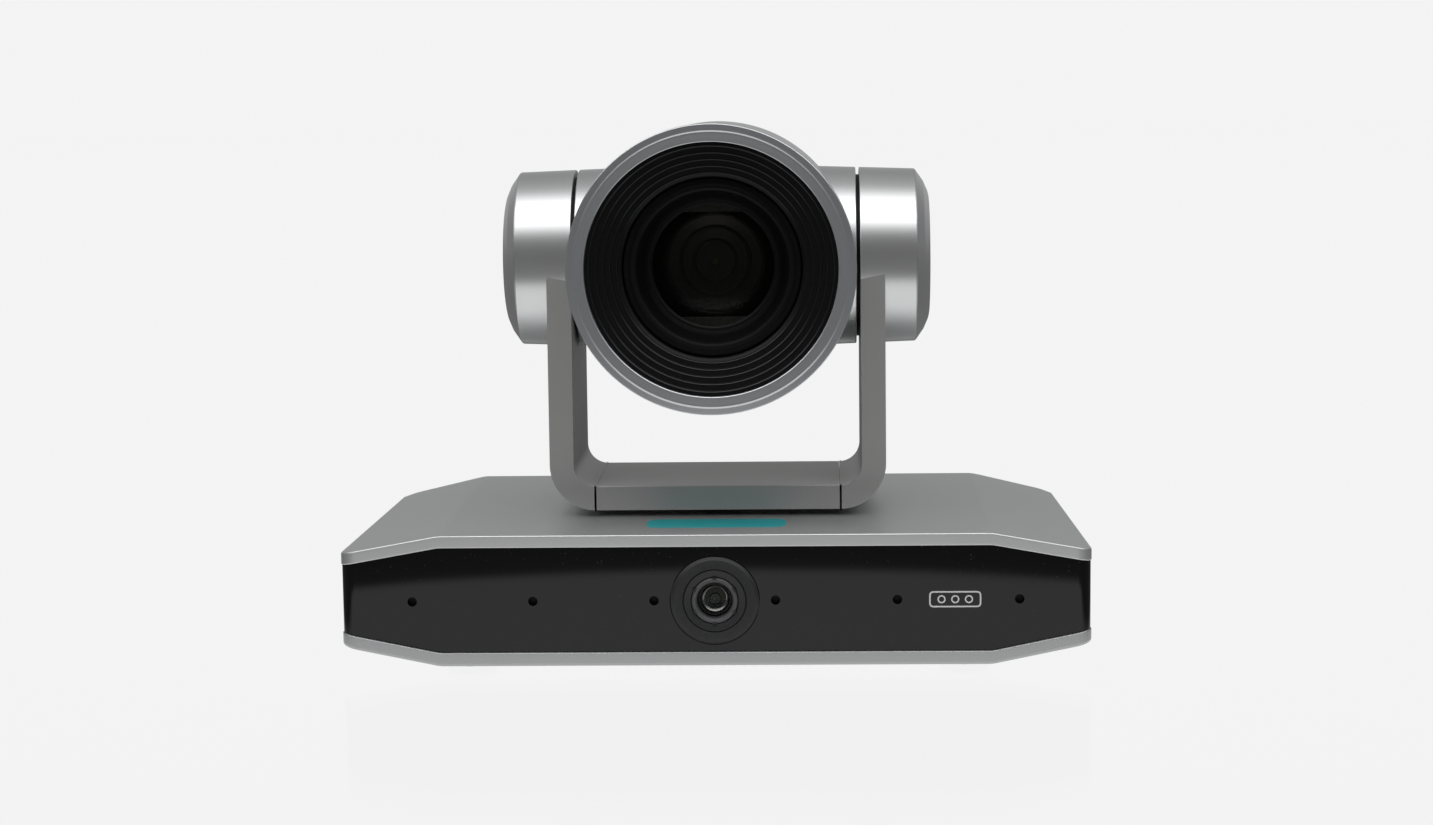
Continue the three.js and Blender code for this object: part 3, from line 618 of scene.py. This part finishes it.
def draw_bars(g, inputs):
    """Count small bars of one size in a row along X, from each point."""
    bar = g.node("GeometryNodeMeshCube", {}, {"Size": inputs["Size"]})
    row = g.node("GeometryNodeMeshLine", {"mode": "OFFSET"}, {
        "Count": inputs["Count"], "Offset": g.node("ShaderNodeCombineXYZ", {}, {0: inputs["Pitch"]})})
    one = g.node("GeometryNodeInstanceOnPoints", {}, {"Points": row, "Instance": bar})
    points = g.node("GeometryNodeMeshToPoints", {}, {0: inputs["Geometry"]})
    return g.node("GeometryNodeInstanceOnPoints", {}, {"Points": points, "Instance": one})


def draw_notches(g, inputs):
    """Count bars standing round a circle, each pointing to its middle."""
    circle = g.node("GeometryNodeMeshCircle", {}, {"Vertices": inputs["Count"], "Radius": inputs["Radius"]})
    bar = g.node("GeometryNodeMeshCube", {}, {"Size": inputs["Size"]})
    index = g.node("GeometryNodeInputIndex")
    spin = g.node("ShaderNodeCombineXYZ", {}, {2: index * math.tau / inputs["Count"]})
    return g.node("GeometryNodeInstanceOnPoints", {}, {
        "Points": circle, "Instance": bar, "Rotation": spin})


RING_SIZES = {"Count": "Int", "Radius": "Float", "Radius Step": "Float", "Height Step": "Float",
              "Wire": "Float"}
BAR_SIZES = {"Count": "Int", "Pitch": "Float", "Size": "Vector"}
to_front = Matrix.Rotation(math.radians(90), 4, "X")


def rings(name, finish, body, centre, count, radius, radius_step, height_step, wire):
    """Fine raised rings towards the front, starting at centre in millimetres."""
    tree = repeat_tree(name + "_rule", finish, draw_rings, RING_SIZES)
    return repeated(name, tree, {
        "Count": count, "Radius": radius * MM, "Radius Step": radius_step * MM,
        "Height Step": height_step * MM, "Wire": wire * MM,
    }, body, shift=Matrix.Translation([v * MM for v in centre]) @ to_front)


# ---------------------------------------------------------------- base
CORNER, CORNER_STEPS, TIP_ROUND = 6, 14, 2.5
right_side = [
    *arc(HALF - CORNER, FRONT + CORNER, CORNER, -math.pi / 2, 0, CORNER_STEPS),
    (HALF - 4.4, BACK - 20), (HALF - 8.6, BACK - 12.5), (FOLD_X + 3, BACK - 0.8), (FOLD_X - 1, BACK),
]
left_side = [(-x, y) for x, y in reversed(right_side)]
ROUND_END = CORNER_STEPS + 1
outline = right_side[:ROUND_END] + rounded(right_side[ROUND_END:], TIP_ROUND, closed=False) \
    + rounded(left_side[:-ROUND_END], TIP_ROUND, closed=False) + left_side[-ROUND_END:]
stations = [0, 60, 88] + [FOLD_X + FOLD_EASE * k / 4 for k in range(-4, 5)] + [112, 120, 128, 133]


def eased_fold(x, amount):
    """Height change at x of a surface that slopes past the fold, with the fold itself eased."""
    past = abs(x) - FOLD_X
    if past <= -FOLD_EASE:
        return 0
    if past < FOLD_EASE:
        return amount / (HALF - FOLD_X) * (past + FOLD_EASE) ** 2 / (4 * FOLD_EASE)
    return amount / (HALF - FOLD_X) * past


def bent(bm, height):
    """Cuts a flat slab at the stations and lifts every vertex to height(x, z)."""
    for x in stations + [-s for s in stations]:
        parts = bm.verts[:] + bm.edges[:] + bm.faces[:]
        bmesh.ops.bisect_plane(bm, geom=parts, plane_co=(x, 0, 0), plane_no=(1, 0, 0), dist=WELD)
    for v in bm.verts:
        v.co.z = height(v.co.x, v.co.z)
    return bm


sections = [(LIP, 0.9), (LIP, 0), *lower_round(0.45), *upper_round(0.6, TOP_EDGE)]
top_cover = bent(slab(outline, sections), lambda x, z: TOP - TOP_EDGE + z - eased_fold(x, DROP))
finished("top_cover", top_cover, silver, "base", ["base_top_cover"], 40)
sections = [*lower_round(1.3), *upper_round(0.45, UNDER_EDGE), (LIP, UNDER_EDGE), (LIP, UNDER_EDGE - 0.9)]
under = bent(slab(outline, sections), lambda x, z: UNDER + z + eased_fold(x, RISE))
bottom_cover = finished("bottom_cover", under, under_silver, "base", ["base_bottom_cover"], 40)
INSERT_R = 5.8
cut_by(bottom_cover, [drill(INSERT_R, 0, 12, "z", (0, 0, 0), 128)])

band_shape = shrunk(outline, BAND_IN)
widen = band_high[0] / max(x for x, y in band_shape)
band_shape = [(x * widen, y) for x, y in band_shape]
BAND_WALL, BAND_GAP = 2.4, 0.15


def band(name, finish, y0, y1, node, cutters):
    """The black wall between the covers, or the part of it from y0 to y1."""
    low, high = UNDER + UNDER_EDGE + BAND_GAP, TOP - TOP_EDGE - BAND_GAP
    bm = slab(band_shape, [(0, 0), (0, 1)], caps=(False, False))
    slab(shrunk(band_shape, BAND_WALL), [(0, 0), (0, 1)], bm, caps=(False, False))
    loops = [e for e in bm.edges if len(e.link_faces) == 1]
    bmesh.ops.bridge_loops(bm, edges=[e for e in loops if e.verts[0].co.z < 0.5])
    bmesh.ops.bridge_loops(bm, edges=[e for e in loops if e.verts[0].co.z > 0.5])
    for y, normal in ((y0, -1), (y1, 1)):
        clipped(bm, y, normal)

    def height(x, z):
        foot = low + eased_fold(x, RISE)
        return foot + z * (high - eased_fold(x, DROP) - foot)

    made = finished(name, bent(bm, height), finish, "base", [node], 12)
    cut_by(made, cutters, 12)


MIC_HOLE_R = 1.75
holes = [drill(MIC_HOLE_R, FRONT - 2, FRONT + 6, "y", (x, 0, AUX_Z), 40) for x in MIC_X]
holes.append(drill(AUX_R + 0.25, FRONT - 2, FRONT + 8, "y", AUX, 128))
band("front_band", gloss_black, FRONT - 5, band_high[1], "front_panel", holes)

PLATE_GAP, CUT_IN, CUT_OUT = 0.3, BACK - 12, BACK + 3
low, high = span("port_plate_left")[0], span("port_plate_right")[1]
window = oblong(low[0] - PLATE_GAP, high[0] + PLATE_GAP, low[2] - PLATE_GAP, high[2] + PLATE_GAP)
band("rear_band", plate_black, rear_low[1], BACK + 5, "rear_panel",
     [cutter(upright(window, CUT_IN, CUT_OUT))])

# wide-angle lens
HOLDER_HOLE, GROOVE_R = 8.7, AUX_R - 4.8
turned("aux_bezel", placed(0, AUX_Y, [
    (HOLDER_HOLE, 0.75), (9.4, 0.5), (GROOVE_R - 0.25, 0.1), (GROOVE_R - 0.05, 0.7), (GROOVE_R + 0.15, 0.7),
    (GROOVE_R + 0.35, 0.05), (AUX_R - 1.3, 0), (AUX_R, 1), (AUX_R, 8.8), (HOLDER_HOLE, 8.8),
]), "y", AUX, bezel_black, "base", ["aux_lens_bezel"], 0.2, 160, 50)
rings("aux_bezel_turning", bezel_black, "base", (0, AUX_Y + 0.02, AUX_Z), 7, GROOVE_R + 0.8, 0.42, 0, 0.04)
turned("aux_holder", placed(0, AUX_Y, [
    (6.5, 1.5), (6.7, 0.9), (7.1, 0.35), (7.6, 0.12), (8.0, 0.2), (8.35, 0.5), (8.5, 1), (8.5, 15.9), (4.5, 15.9),
    (4.5, 7), (6.5, 7),
]), "y", AUX, aux_grey, "base", ["aux_lens_barrel"], 0.15, 96, 50)
notch = repeat_tree("aux_holder_notch_rule", bezel_black, draw_notches, {
    "Count": "Int", "Radius": "Float", "Size": "Vector"})
on_holder = Matrix.Translation((0, (AUX_Y + 0.25) * MM, AUX_Z * MM)) @ to_front \
    @ Matrix.Rotation(math.radians(30), 4, "Z")
repeated("aux_holder_notches", notch, {"Count": 6, "Radius": 8.3 * MM, "Size": (0.7 * MM, 1.5 * MM, 0.5 * MM)},
         "base", shift=on_holder)
turned("aux_front_glass", placed(0, AUX_Y, [
    (0, 1.5), (1.5, 1.6), (3, 1.9), (4.5, 2.5), (5.6, 3.2), (6.4, 3.9),
    (6.4, 4.1), (5.6, 3.45), (4.5, 2.8), (3, 2.2), (1.5, 1.85), (0, 1.75),
]), "y", AUX, aux_glass, "base", ["aux_lens_glass"], 0.05, 96, 60)
turned("aux_bowl", placed(0, AUX_Y, [
    (1.9, 5.95), (4.1, 5.9), (4.5, 5.75), (4.9, 5.45), (5.15, 4.9), (5.4, 4.1), (6.2, 4.1), (6.2, 6.5), (1.9, 6.5),
]), "y", AUX, bowl_black, "base", (), 0.08, 96, 50)
turned("aux_coating", placed(0, AUX_Y, [(4.05, 5.78), (4.45, 5.58), (4.75, 5.36), (4.8, 5.6), (4.1, 6)]),
       "y", AUX, bowl_coating, "base", (), 0.03, 96, 50)
turned("aux_iris", placed(0, AUX_Y, [
    (0, 5.6), (0.6, 5.55), (0.8, 5.75), (1.2, 5.3), (1.6, 5.2), (1.9, 5.5), (1.9, 6.4), (0, 6.4),
]), "y", AUX, iris_ring, "base", (), 0.08, 64, 50)

# a plain bar of colour on the cover and a lens sign on the band
mark = slab(rounded(oblong(-26, 26, FRONT + 16, FRONT + 36), 6, steps=8),
            [(0, TOP - 0.3), (0, TOP + 0.03), (0.03, TOP + 0.05)])
finished("cover_mark", mark, teal, "base", (), 40)
SIGN_X, SIGN_HALF_W, SIGN_HALF_H = 88, 9.5, 3
SIGN_Y, SIGN_DEEP = FRONT + BAND_IN - 0.03, 0.25
EYE_PITCH, EYE_R, EYE_STEPS = 5, 1.5, 31


def flat_ring(bm, outer, inner):
    """Adds a thin plate between two outlines in X and Z that face the front."""
    n = len(outer)
    back = SIGN_Y + SIGN_DEEP
    loops = [[bm.verts.new((x, y, z)) for x, z in shape] for shape, y in
             ((outer, SIGN_Y), (inner, SIGN_Y), (inner, back), (outer, back))]
    for a, b in zip(loops, loops[1:] + loops[:1]):
        for k in range(n):
            bm.faces.new((a[k], a[(k + 1) % n], b[(k + 1) % n], b[k]))


def eye_line(x, r):
    return arc(x, AUX_Z, r, 0, math.tau * EYE_STEPS / (EYE_STEPS + 1), EYE_STEPS)


sign = bmesh.new()
frame_shape = rounded(oblong(SIGN_X - SIGN_HALF_W, SIGN_X + SIGN_HALF_W, AUX_Z - SIGN_HALF_H,
                             AUX_Z + SIGN_HALF_H), 1.6)
flat_ring(sign, frame_shape, shrunk(frame_shape, 0.55))
for x in (SIGN_X - EYE_PITCH, SIGN_X, SIGN_X + EYE_PITCH):
    flat_ring(sign, eye_line(x, EYE_R), eye_line(x, EYE_R - 0.5))
finished("band_mark", sign, pale, "base", (), 40)

# socket contacts, feet, screws, and vents drawn as black bars of painted shade
bars = repeat_tree("contact_rule", contact_gold, draw_bars, BAR_SIZES)
for node, count, pitch, size, rise in (
        ("lan_port", 8, 1.05, (0.45, 7, 0.25), 3.2), ("usb_port", 4, 2.4, (1.1, 6, 0.2), 0.75),
        ("hdmi_port", 10, 1.0, (0.45, 5, 0.15), 0.6)):
    x, _, z = middle(node)
    back = span(node)[1][1]
    repeated(node + "_contacts", bars, {"Count": count, "Pitch": pitch * MM, "Size": [v * MM for v in size]},
             "base", [(x - pitch * (count - 1) / 2, back - 5.6, z + rise)])
tongues = []
for node, half, thick in (("usb_port", 5.6, 0.9), ("hdmi_port", 5.6, 0.45)):
    x, _, z = middle(node)
    level, back = z + 0.2, span(node)[1][1]
    shape = rounded(oblong(x - half, x + half, level - thick, level + thick), 0.2, steps=2)
    tongues.append(upright(shape, back - 9, back - 1.8))
finished("socket_tongues", joined(*tongues), deep_black, "base", ())
for i in range(1, 5):
    low, high = span(f"foot_{i}")
    r, (x, y, _) = (high[0] - low[0]) / 2, middle(f"foot_{i}")
    turned(f"foot_pad_{i}", [(0, 0), (r - 0.7, 0), (r, 0.7), (r, high[2]), (0, high[2])], "z", (x, y, 0), rubber,
           "base", [f"foot_{i}"], 0.3, 64)

screw = repeat_tree("screw_rule", bright_steel, draw_screws, {"Radius": "Float", "Height": "Float"})
UNDER_SCREW_Z = UNDER + 0.1
spots = [(sx * x, sy * y, UNDER_SCREW_Z) for x, y in ((40, 60), (75, 30)) for sx in (-1, 1) for sy in (-1, 1)]
turned_over = Matrix.Translation((0, 0, 2 * UNDER_SCREW_Z * MM)) @ Matrix.Rotation(math.pi, 4, "X")
repeated("under_screws", screw, {"Radius": 2.4 * MM, "Height": 1.0 * MM}, "base", spots, turned_over)
spots = [(x, -z, 0) for x, z in ((-72, 14), (72, 14), (-92, 38), (0, 38), (92, 38))]
on_rear = Matrix.Translation((0, (BACK - BAND_IN) * MM, 0)) @ Matrix.Rotation(math.radians(-90), 4, "X")
repeated("rear_screws", screw, {"Radius": 2 * MM, "Height": 0.9 * MM}, "base", spots, on_rear)
# the vents are thin deep black bars laid on the covers, not openings: painted shade of the vent slots
vent = repeat_tree("vent_rule", deep_black, draw_bars, BAR_SIZES)
VENT_PITCH, VENT_W, VENT_DEEP = 4 * MM, 1.6 * MM, 0.1 * MM
repeated("under_vents", vent, {"Count": 18, "Pitch": VENT_PITCH, "Size": (VENT_W, 22 * MM, VENT_DEEP)}, "base",
         [(-34, y, UNDER + 0.02) for y in (-48, 48)])
repeated("rear_vents", vent, {"Count": 15, "Pitch": VENT_PITCH, "Size": (VENT_W, VENT_DEEP, 8 * MM)}, "base",
         [(x, BACK - BAND_IN - 0.02, 34.5) for x in (-64, 8)])


def port_plate(node, sockets):
    """A plate with eased edges and a window for each socket."""
    low, high = span(node)
    shape = rounded(oblong(low[0], high[0], low[2], high[2]), 0.5)
    plate = finished(node + "_face", upright(shape, low[1], high[1], 0.25), plate_black, "base", [node])
    windows = []
    for socket in sockets:
        a, b = span(socket)
        shape = rounded(oblong(a[0] - 0.25, b[0] + 0.25, a[2] - 0.25, b[2] + 0.25), 0.8)
        windows.append(cutter(upright(shape, CUT_IN, CUT_OUT)))
    cut_by(plate, windows)


port_plate("port_plate_left", ["power_port", "lan_port"])
port_plate("port_plate_middle", ["hdmi_port", "usb_port"])
port_plate("port_plate_right", ["control_port", "audio_port"])

# ---------------------------------------------------------------- yoke
OUT_R, IN_R = 17.5, 17.5 - YOKE_T
YOKE_LOW, YOKE_HIGH = bar_low[2], bar_high[2]
YOKE_D, SEAM, SEAM_GAP = bar_high[1], bar_high[0], 0.3
right_arm = [
    *arc(ARM_OUT - OUT_R, YOKE_LOW + OUT_R, OUT_R, -math.pi / 2, 0, 24), (ARM_OUT, TILT_Z), (ARM_IN, TILT_Z),
    *arc(ARM_IN - IN_R, YOKE_HIGH + IN_R, IN_R, 0, -math.pi / 2, 18),
    (SEAM + SEAM_GAP, YOKE_HIGH), (SEAM + SEAM_GAP, YOKE_LOW),
]
left_arm = [(-x, z) for x, z in reversed(right_arm)]
cross_bar = upright(oblong(-SEAM, SEAM, YOKE_LOW, YOKE_HIGH), -YOKE_D, YOKE_D, 0.4)
finished("cross_bar", cross_bar, yoke_silver, "yoke", ["yoke_cross_bar"])
drum = rounded([(9, ARM_IN + 0.02), (ear_radius(ARM_IN), ARM_IN + 0.02), (EAR_R, CREASE), (EAR_R - 2.2, CREASE),
                (EAR_R - 2.2, ARM_OUT), (9, ARM_OUT)], 0.35)
cap = rounded([(EAR_R - 2.4, CREASE), (EAR_R - 0.02, CREASE + 0.01), (EAR_R - 4.6, CREASE + 3.2),
               (EAR_R - 8.6, EAR_END - 0.45), (EAR_R - 10.4, EAR_END - 0.05), (EAR_R - 14, EAR_END), (0, EAR_END),
               (0, EAR_END - 1.6), (EAR_R - 12, EAR_END - 1.6)], 0.5, steps=3)
# a deep black disc in the gap between head and ear: its black is painted shade of the seam
GAP_SHADE_DISC_R = 31.2
gap_shade_disc = [(10, HEAD_X + 0.2), (GAP_SHADE_DISC_R, HEAD_X + 0.2), (GAP_SHADE_DISC_R, ARM_IN + 0.4), (10, ARM_IN + 0.4)]


def across(profile, side, segments=192):
    """A profile turned about the tilt axis, on one side of the head."""
    return turn(bmesh.new(), [(r, side * t) for r, t in profile], "x", AXIS, segments)


for side, shape, word in ((1, right_arm, "right"), (-1, left_arm, "left")):
    finished(word + "_arm", upright(shape, -YOKE_D, YOKE_D, 0.4), yoke_silver, "yoke", ())
    finished(word + "_ear", across(drum, side), ear_silver, "yoke", [f"yoke_{word}_arm"], 30)
    finished(word + "_cap", across(cap, side), ear_silver, "yoke", [word + "_ear_cap"], 24)
# the deep black discs in the head-ear gaps, painted shade of the seams
for side, word in ((1, "right"), (-1, "left")):
    finished(word + "_washer", across(gap_shade_disc, side, 128), deep_black, "yoke", ())

# ---------------------------------------------------------------- head
SHELL_WALL, SHELL_GAP, DOME_START, DOME_STEPS = 2.2, 0.3, 8, 24
barrel = [(BARREL_R - SHELL_WALL, shell_low[1])]
for k in range(3):
    y = shell_low[1] + 0.2 + k * 1.5
    barrel += placed(BARREL_R, y, [(0, 0), (0, 0.9), (-0.35, 1.05), (-0.35, 1.35)])
barrel += [(BARREL_R, y + 1.6), (BARREL_R, HEAD_SPLIT - 0.1), (BARREL_R - 0.15, HEAD_SPLIT),
           (BARREL_R - SHELL_WALL, HEAD_SPLIT)]
dome = [(BARREL_R - SHELL_WALL, HEAD_SPLIT + SHELL_GAP), (BARREL_R - 0.2, HEAD_SPLIT + SHELL_GAP)]
for k in range(1, DOME_STEPS + 1):
    a = math.pi / 2 * k / DOME_STEPS
    dome.append((BARREL_R * math.cos(a) if k < DOME_STEPS else 0,
                 DOME_START + (HEAD_BACK - DOME_START) * math.sin(a)))
dome += [(0, HEAD_BACK - 2.2), (BARREL_R * 0.6, HEAD_BACK - 12), (BARREL_R - 4, HEAD_SPLIT + 12)]
HUB_R, HUB_IN = 7, 37
hub = rounded([(HUB_R, HUB_IN), (ear_radius(HUB_IN), HUB_IN), (ear_radius(HEAD_X), HEAD_X), (HUB_R, HEAD_X)], 0.5)
for name, profile, node, keep, split in (
        ("head_front", barrel, "head_front_shell", 1, HEAD_SPLIT),
        ("head_rear", dome, "head_rear_shell", -1, HEAD_SPLIT + SHELL_GAP)):
    parts = [turn(bmesh.new(), profile, "y", AXIS, 192)]
    bmesh.ops.recalc_face_normals(parts[0], faces=parts[0].faces)
    for side in (1, -1):
        part = across(hub, side)
        bmesh.ops.recalc_face_normals(part, faces=part.faces)
        clipped(part, split, keep)
        parts.append(part)
    finished(name, joined(*parts), ear_silver, "head", [node], 30)

RING_IN = RING_R - 5.9
turned("head_ring", [
    (RING_IN, RING_BACK),
    *placed(RING_IN, RING_Y, [
        (0, 2.9), (-0.75, 2.8), (-0.75, 1.1), (-0.65, 0.85), (-0.45, 0.71), (0.6, 0.49), (1.8, 0.19), (2.4, 0.04),
        (2.7, 0), (2.9, 0.02), (3.1, 0.09), (3.35, 0.19), (3.55, 0.25)]),
    *placed(RING_R, RING_Y, [(-0.25, 0.45), (0, 0.68)]), (RING_R, RING_BACK),
], "y", AXIS, ring_silver, "head", ["front_ring"], 0.06, 256, 30)

HOOD_Y, RIB_DEEP, RIB_STEP, RIBS = RING_Y + 3.0, 1.8, 2.48, 5
hood = [(RING_IN - 0.1, HOOD_Y)]
for k in range(RIBS):
    hood += placed(RING_IN - (2.5 + RIB_STEP * k), HOOD_Y - 0.2 + k * RIB_DEEP,
                   [(0.75, 0.25), (0.2, 0.3), (0, 0.6), (0, RIB_DEEP * 0.95)])
TUBE_R = RING_IN - 13.8
hood += [(TUBE_R + 0.5, HOOD_Y + 9.2), (TUBE_R, HOOD_Y + 9.7), (TUBE_R, RING_Y + 22), (TUBE_R + 1.4, RING_Y + 22),
         (TUBE_R + 1.4, HOOD_Y + 12), (RING_IN - 0.1, RING_BACK - 0.8)]
turned("ribbed_hood", hood, "y", AXIS, hood_black, "head", ["lens_hood"], 0.18, 192, 28)
rings("hood_ribs", rib_black, "head", (0, HOOD_Y + 0.1, TILT_Z), RIBS, RING_IN - 2.2, -RIB_STEP, -RIB_DEEP, 0.2)

LENS_Y, LENS_OUT, LENS_BACK = RING_Y + 26, TUBE_R - 0.3, 15.9
LIP_Y = span("lens_barrel")[0][1]
turned("zoom_barrel", [
    *placed(0, LENS_Y, [(24.4, 7), (24.4, -0.6), (22.6, -0.9), (22.6, -1.5), (23.2, -1.9), (24.4, -2.1),
                        (25.6, -3.4)]),
    *placed(0, LIP_Y, [(27.2, 2.6), (27.8, 1.1), (28.4, 0.3), (29.2, 0), (30.1, 0.1), (31, 0.5),
                       (LENS_OUT - 0.4, 0.7), (LENS_OUT, 1.1)]),
    (LENS_OUT, LENS_BACK), (LENS_OUT - 5.9, LENS_BACK), (LENS_OUT - 5.9, LENS_Y + 7),
], "y", AXIS, tube_black, "head", ["lens_barrel"], 0.15, 160, 30)
turned("front_lens", placed(0, LENS_Y, [
    (0, -3.3), (6, -3.02), (12, -2.1), (17, -0.8), (21, 0.6), (24, 2), (24, 2.6), (20, 1.3), (14, -0.3), (7, -1.6),
    (0, -2),
]), "y", AXIS, lens_glass, "head", ["lens_front_glass"], 0.05, 160, 60)
MASK_Z, MASK_R = 19.6, 24.2
mask = []
for side in (1, -1):
    reach = math.acos(MASK_Z / MASK_R)
    segment = arc(0, 0, MASK_R, math.pi / 2 - reach, math.pi / 2 + reach, 24)
    segment = [(x, TILT_Z + side * z) for x, z in segment]
    if side < 0:
        segment.reverse()
    mask.append(upright(segment, LENS_Y + 4.6, LENS_Y + 5.4, 0.1))
finished("lens_mask", joined(*mask), mask_black, "head", ())
ZOOM_R, ZOOM_Y = zoom_high[0], zoom_low[1]
turned("zoom_carrier", placed(0, ZOOM_Y, [
    (0, 1.6), (7.4, 1.1), (7.8, 0.7), (8.3, 0.7), (8.6, 1.5), (12.4, 0.8), (12.8, 0.4), (13.3, 0.4), (13.6, 1.4),
    (17.6, 0.4), (18, 0), (18.6, 0), (18.9, 1.4), (ZOOM_R - 0.3, 2.4), (ZOOM_R, 2.8),
]) + [(ZOOM_R, zoom_high[1]), (0, zoom_high[1] - 2)],
       "y", AXIS, rib_black, "zoom_carriage", ["zoom_group"], 0.12, 128, 40)
# a tiny dark olive disc deep in the zoom lens: a painted glint, the reflection of the inner lens elements
turned("zoom_iris", placed(0, ZOOM_Y, [(0, 1.3), (0.9, 1.25), (1.2, 1.45), (0, 1.7)]), "y", AXIS, iris_green,
       "zoom_carriage", (), 0.05, 64)

# ---------------------------------------------------------------- finishes of the nodes that stay as they are
finishes = {
    "steel": bright_steel, "brass": turned_brass, "circuit": board_green, "rubber": rubber,
    "grey_metal": holder_grey, "matt_black": bezel_black, "gloss_black": gloss_black, "silver": silver,
    "satin": yoke_silver, "glass": lens_glass,
}
slots = {part["node"]: part["material_slot"] for part in frame["record"]["subparts"]}
for node, made in frame["nodes"].items():
    finish = deep_black if node.startswith("microphone_") else finishes[slots[node]]
    if made.material_slots:
        for held in made.material_slots:
            held.material = finish
    else:
        made.data.materials.append(finish)

# ---------------------------------------------------------------- floor, light and camera
REACH = 9
floor_mesh = bpy.data.meshes.new("floor")
floor_mesh.from_pydata([(-REACH, -REACH, 0), (REACH, -REACH, 0), (REACH, REACH, 0), (-REACH, REACH, 0)], [],
                       [(0, 1, 2, 3)])
floor = bpy.data.objects.new("floor", floor_mesh)
bpy.context.scene.collection.objects.link(floor)

# the floor gives its light from a lit table round the camera, and looks even and pale
pale_floor, g = material("pale_floor")
path = g.node("ShaderNodeLightPath", out="Is Camera Ray")
x, y, _ = g.parts(g.place())
wave = g.noise(g.place(), 9, 1)
front_edge = (y - x * x * 1.6 + wave * 0.012).step(-0.3, -0.274)
table = front_edge * (1 - abs(x).step(0.17, 0.24)) * (1 - y.step(0.12, 0.2))
seen = g.node("ShaderNodeEmission", {}, {"Color": (1, 1, 1, 1), "Strength": 0.93})
shine = g.node("ShaderNodeBsdfGlossy", {}, {"Color": (1, 1, 1, 1), "Roughness": 0.12})
seen = g.node("ShaderNodeMixShader", {}, {0: 0.06, 1: seen, 2: shine})
glow = g.node("ShaderNodeEmission", {}, {
    "Color": g.mix(table, (0.15, 0.15, 0.1485), (1.03, 1.03, 1.0197)), "Strength": 1.0})
surface(g, g.node("ShaderNodeMixShader", {}, {0: path, 1: glow, 2: seen}))
floor_mesh.materials.append(pale_floor)

# the room: darker in front and at the sides, with a wide soft box overhead
world = bpy.data.worlds.new("studio")
bpy.context.scene.world = world
world.use_nodes = True
world.node_tree.nodes.clear()
g = Graph(world.node_tree)
x, y, z = g.parts(g.node("ShaderNodeTexCoord", out="Generated"))
pitch = z.angle_to(0 - y)
greys = ((0.0, 0.1), (0.14, 0.1), (0.3, 0.4), (0.5, 0.45), (0.78, 0.25), (0.9, 0.32), (0.94, 0.45), (1.0, 0.42))
room = g.node("ShaderNodeValToRGB", {"stops": [(at, (grey,) * 3) for at, grey in greys]},
              {0: abs(pitch) / math.pi})
room = g.mix(abs(x).step(0.45, 0.95), room, (0.19, 0.19, 0.195))
box_light = pitch.step(0.56, 1.02) * (1 - pitch.step(1.1, 1.85)) * (1 - abs(x).step(0.7, 0.92)) * 2.4
lit = g.node("ShaderNodeVectorMath", {"operation": "ADD"}, {
    0: room, 1: g.node("ShaderNodeCombineXYZ", {}, {i: box_light for i in range(3)})})
colour = g.mix(g.node("ShaderNodeLightPath", out="Is Camera Ray"), lit, (0.9, 0.9, 0.9))
background = g.node("ShaderNodeBackground", {}, {"Color": colour, "Strength": 1.0})
g.node("ShaderNodeOutputWorld", {}, {"Surface": background})

camera_data = bpy.data.cameras.new("camera")
camera_data.sensor_width, camera_data.lens = 36, 72.85
camera_data.clip_start, camera_data.clip_end = 0.01, 50
camera = bpy.data.objects.new("camera", camera_data)
bpy.context.scene.collection.objects.link(camera)
STAND, TURN_LEFT, LOOK_DOWN, ROLL = (0.0414, -1.1233, 0.2218), 0.0381, 0.1197, -0.0122
camera.matrix_world = Matrix.Translation(STAND) @ Matrix.Rotation(TURN_LEFT, 4, "Z") \
    @ Matrix.Rotation(math.pi / 2 - LOOK_DOWN, 4, "X") @ Matrix.Rotation(ROLL, 4, "Z")
bpy.context.scene.camera = camera
bpy.context.scene.view_settings.view_transform = "Standard"
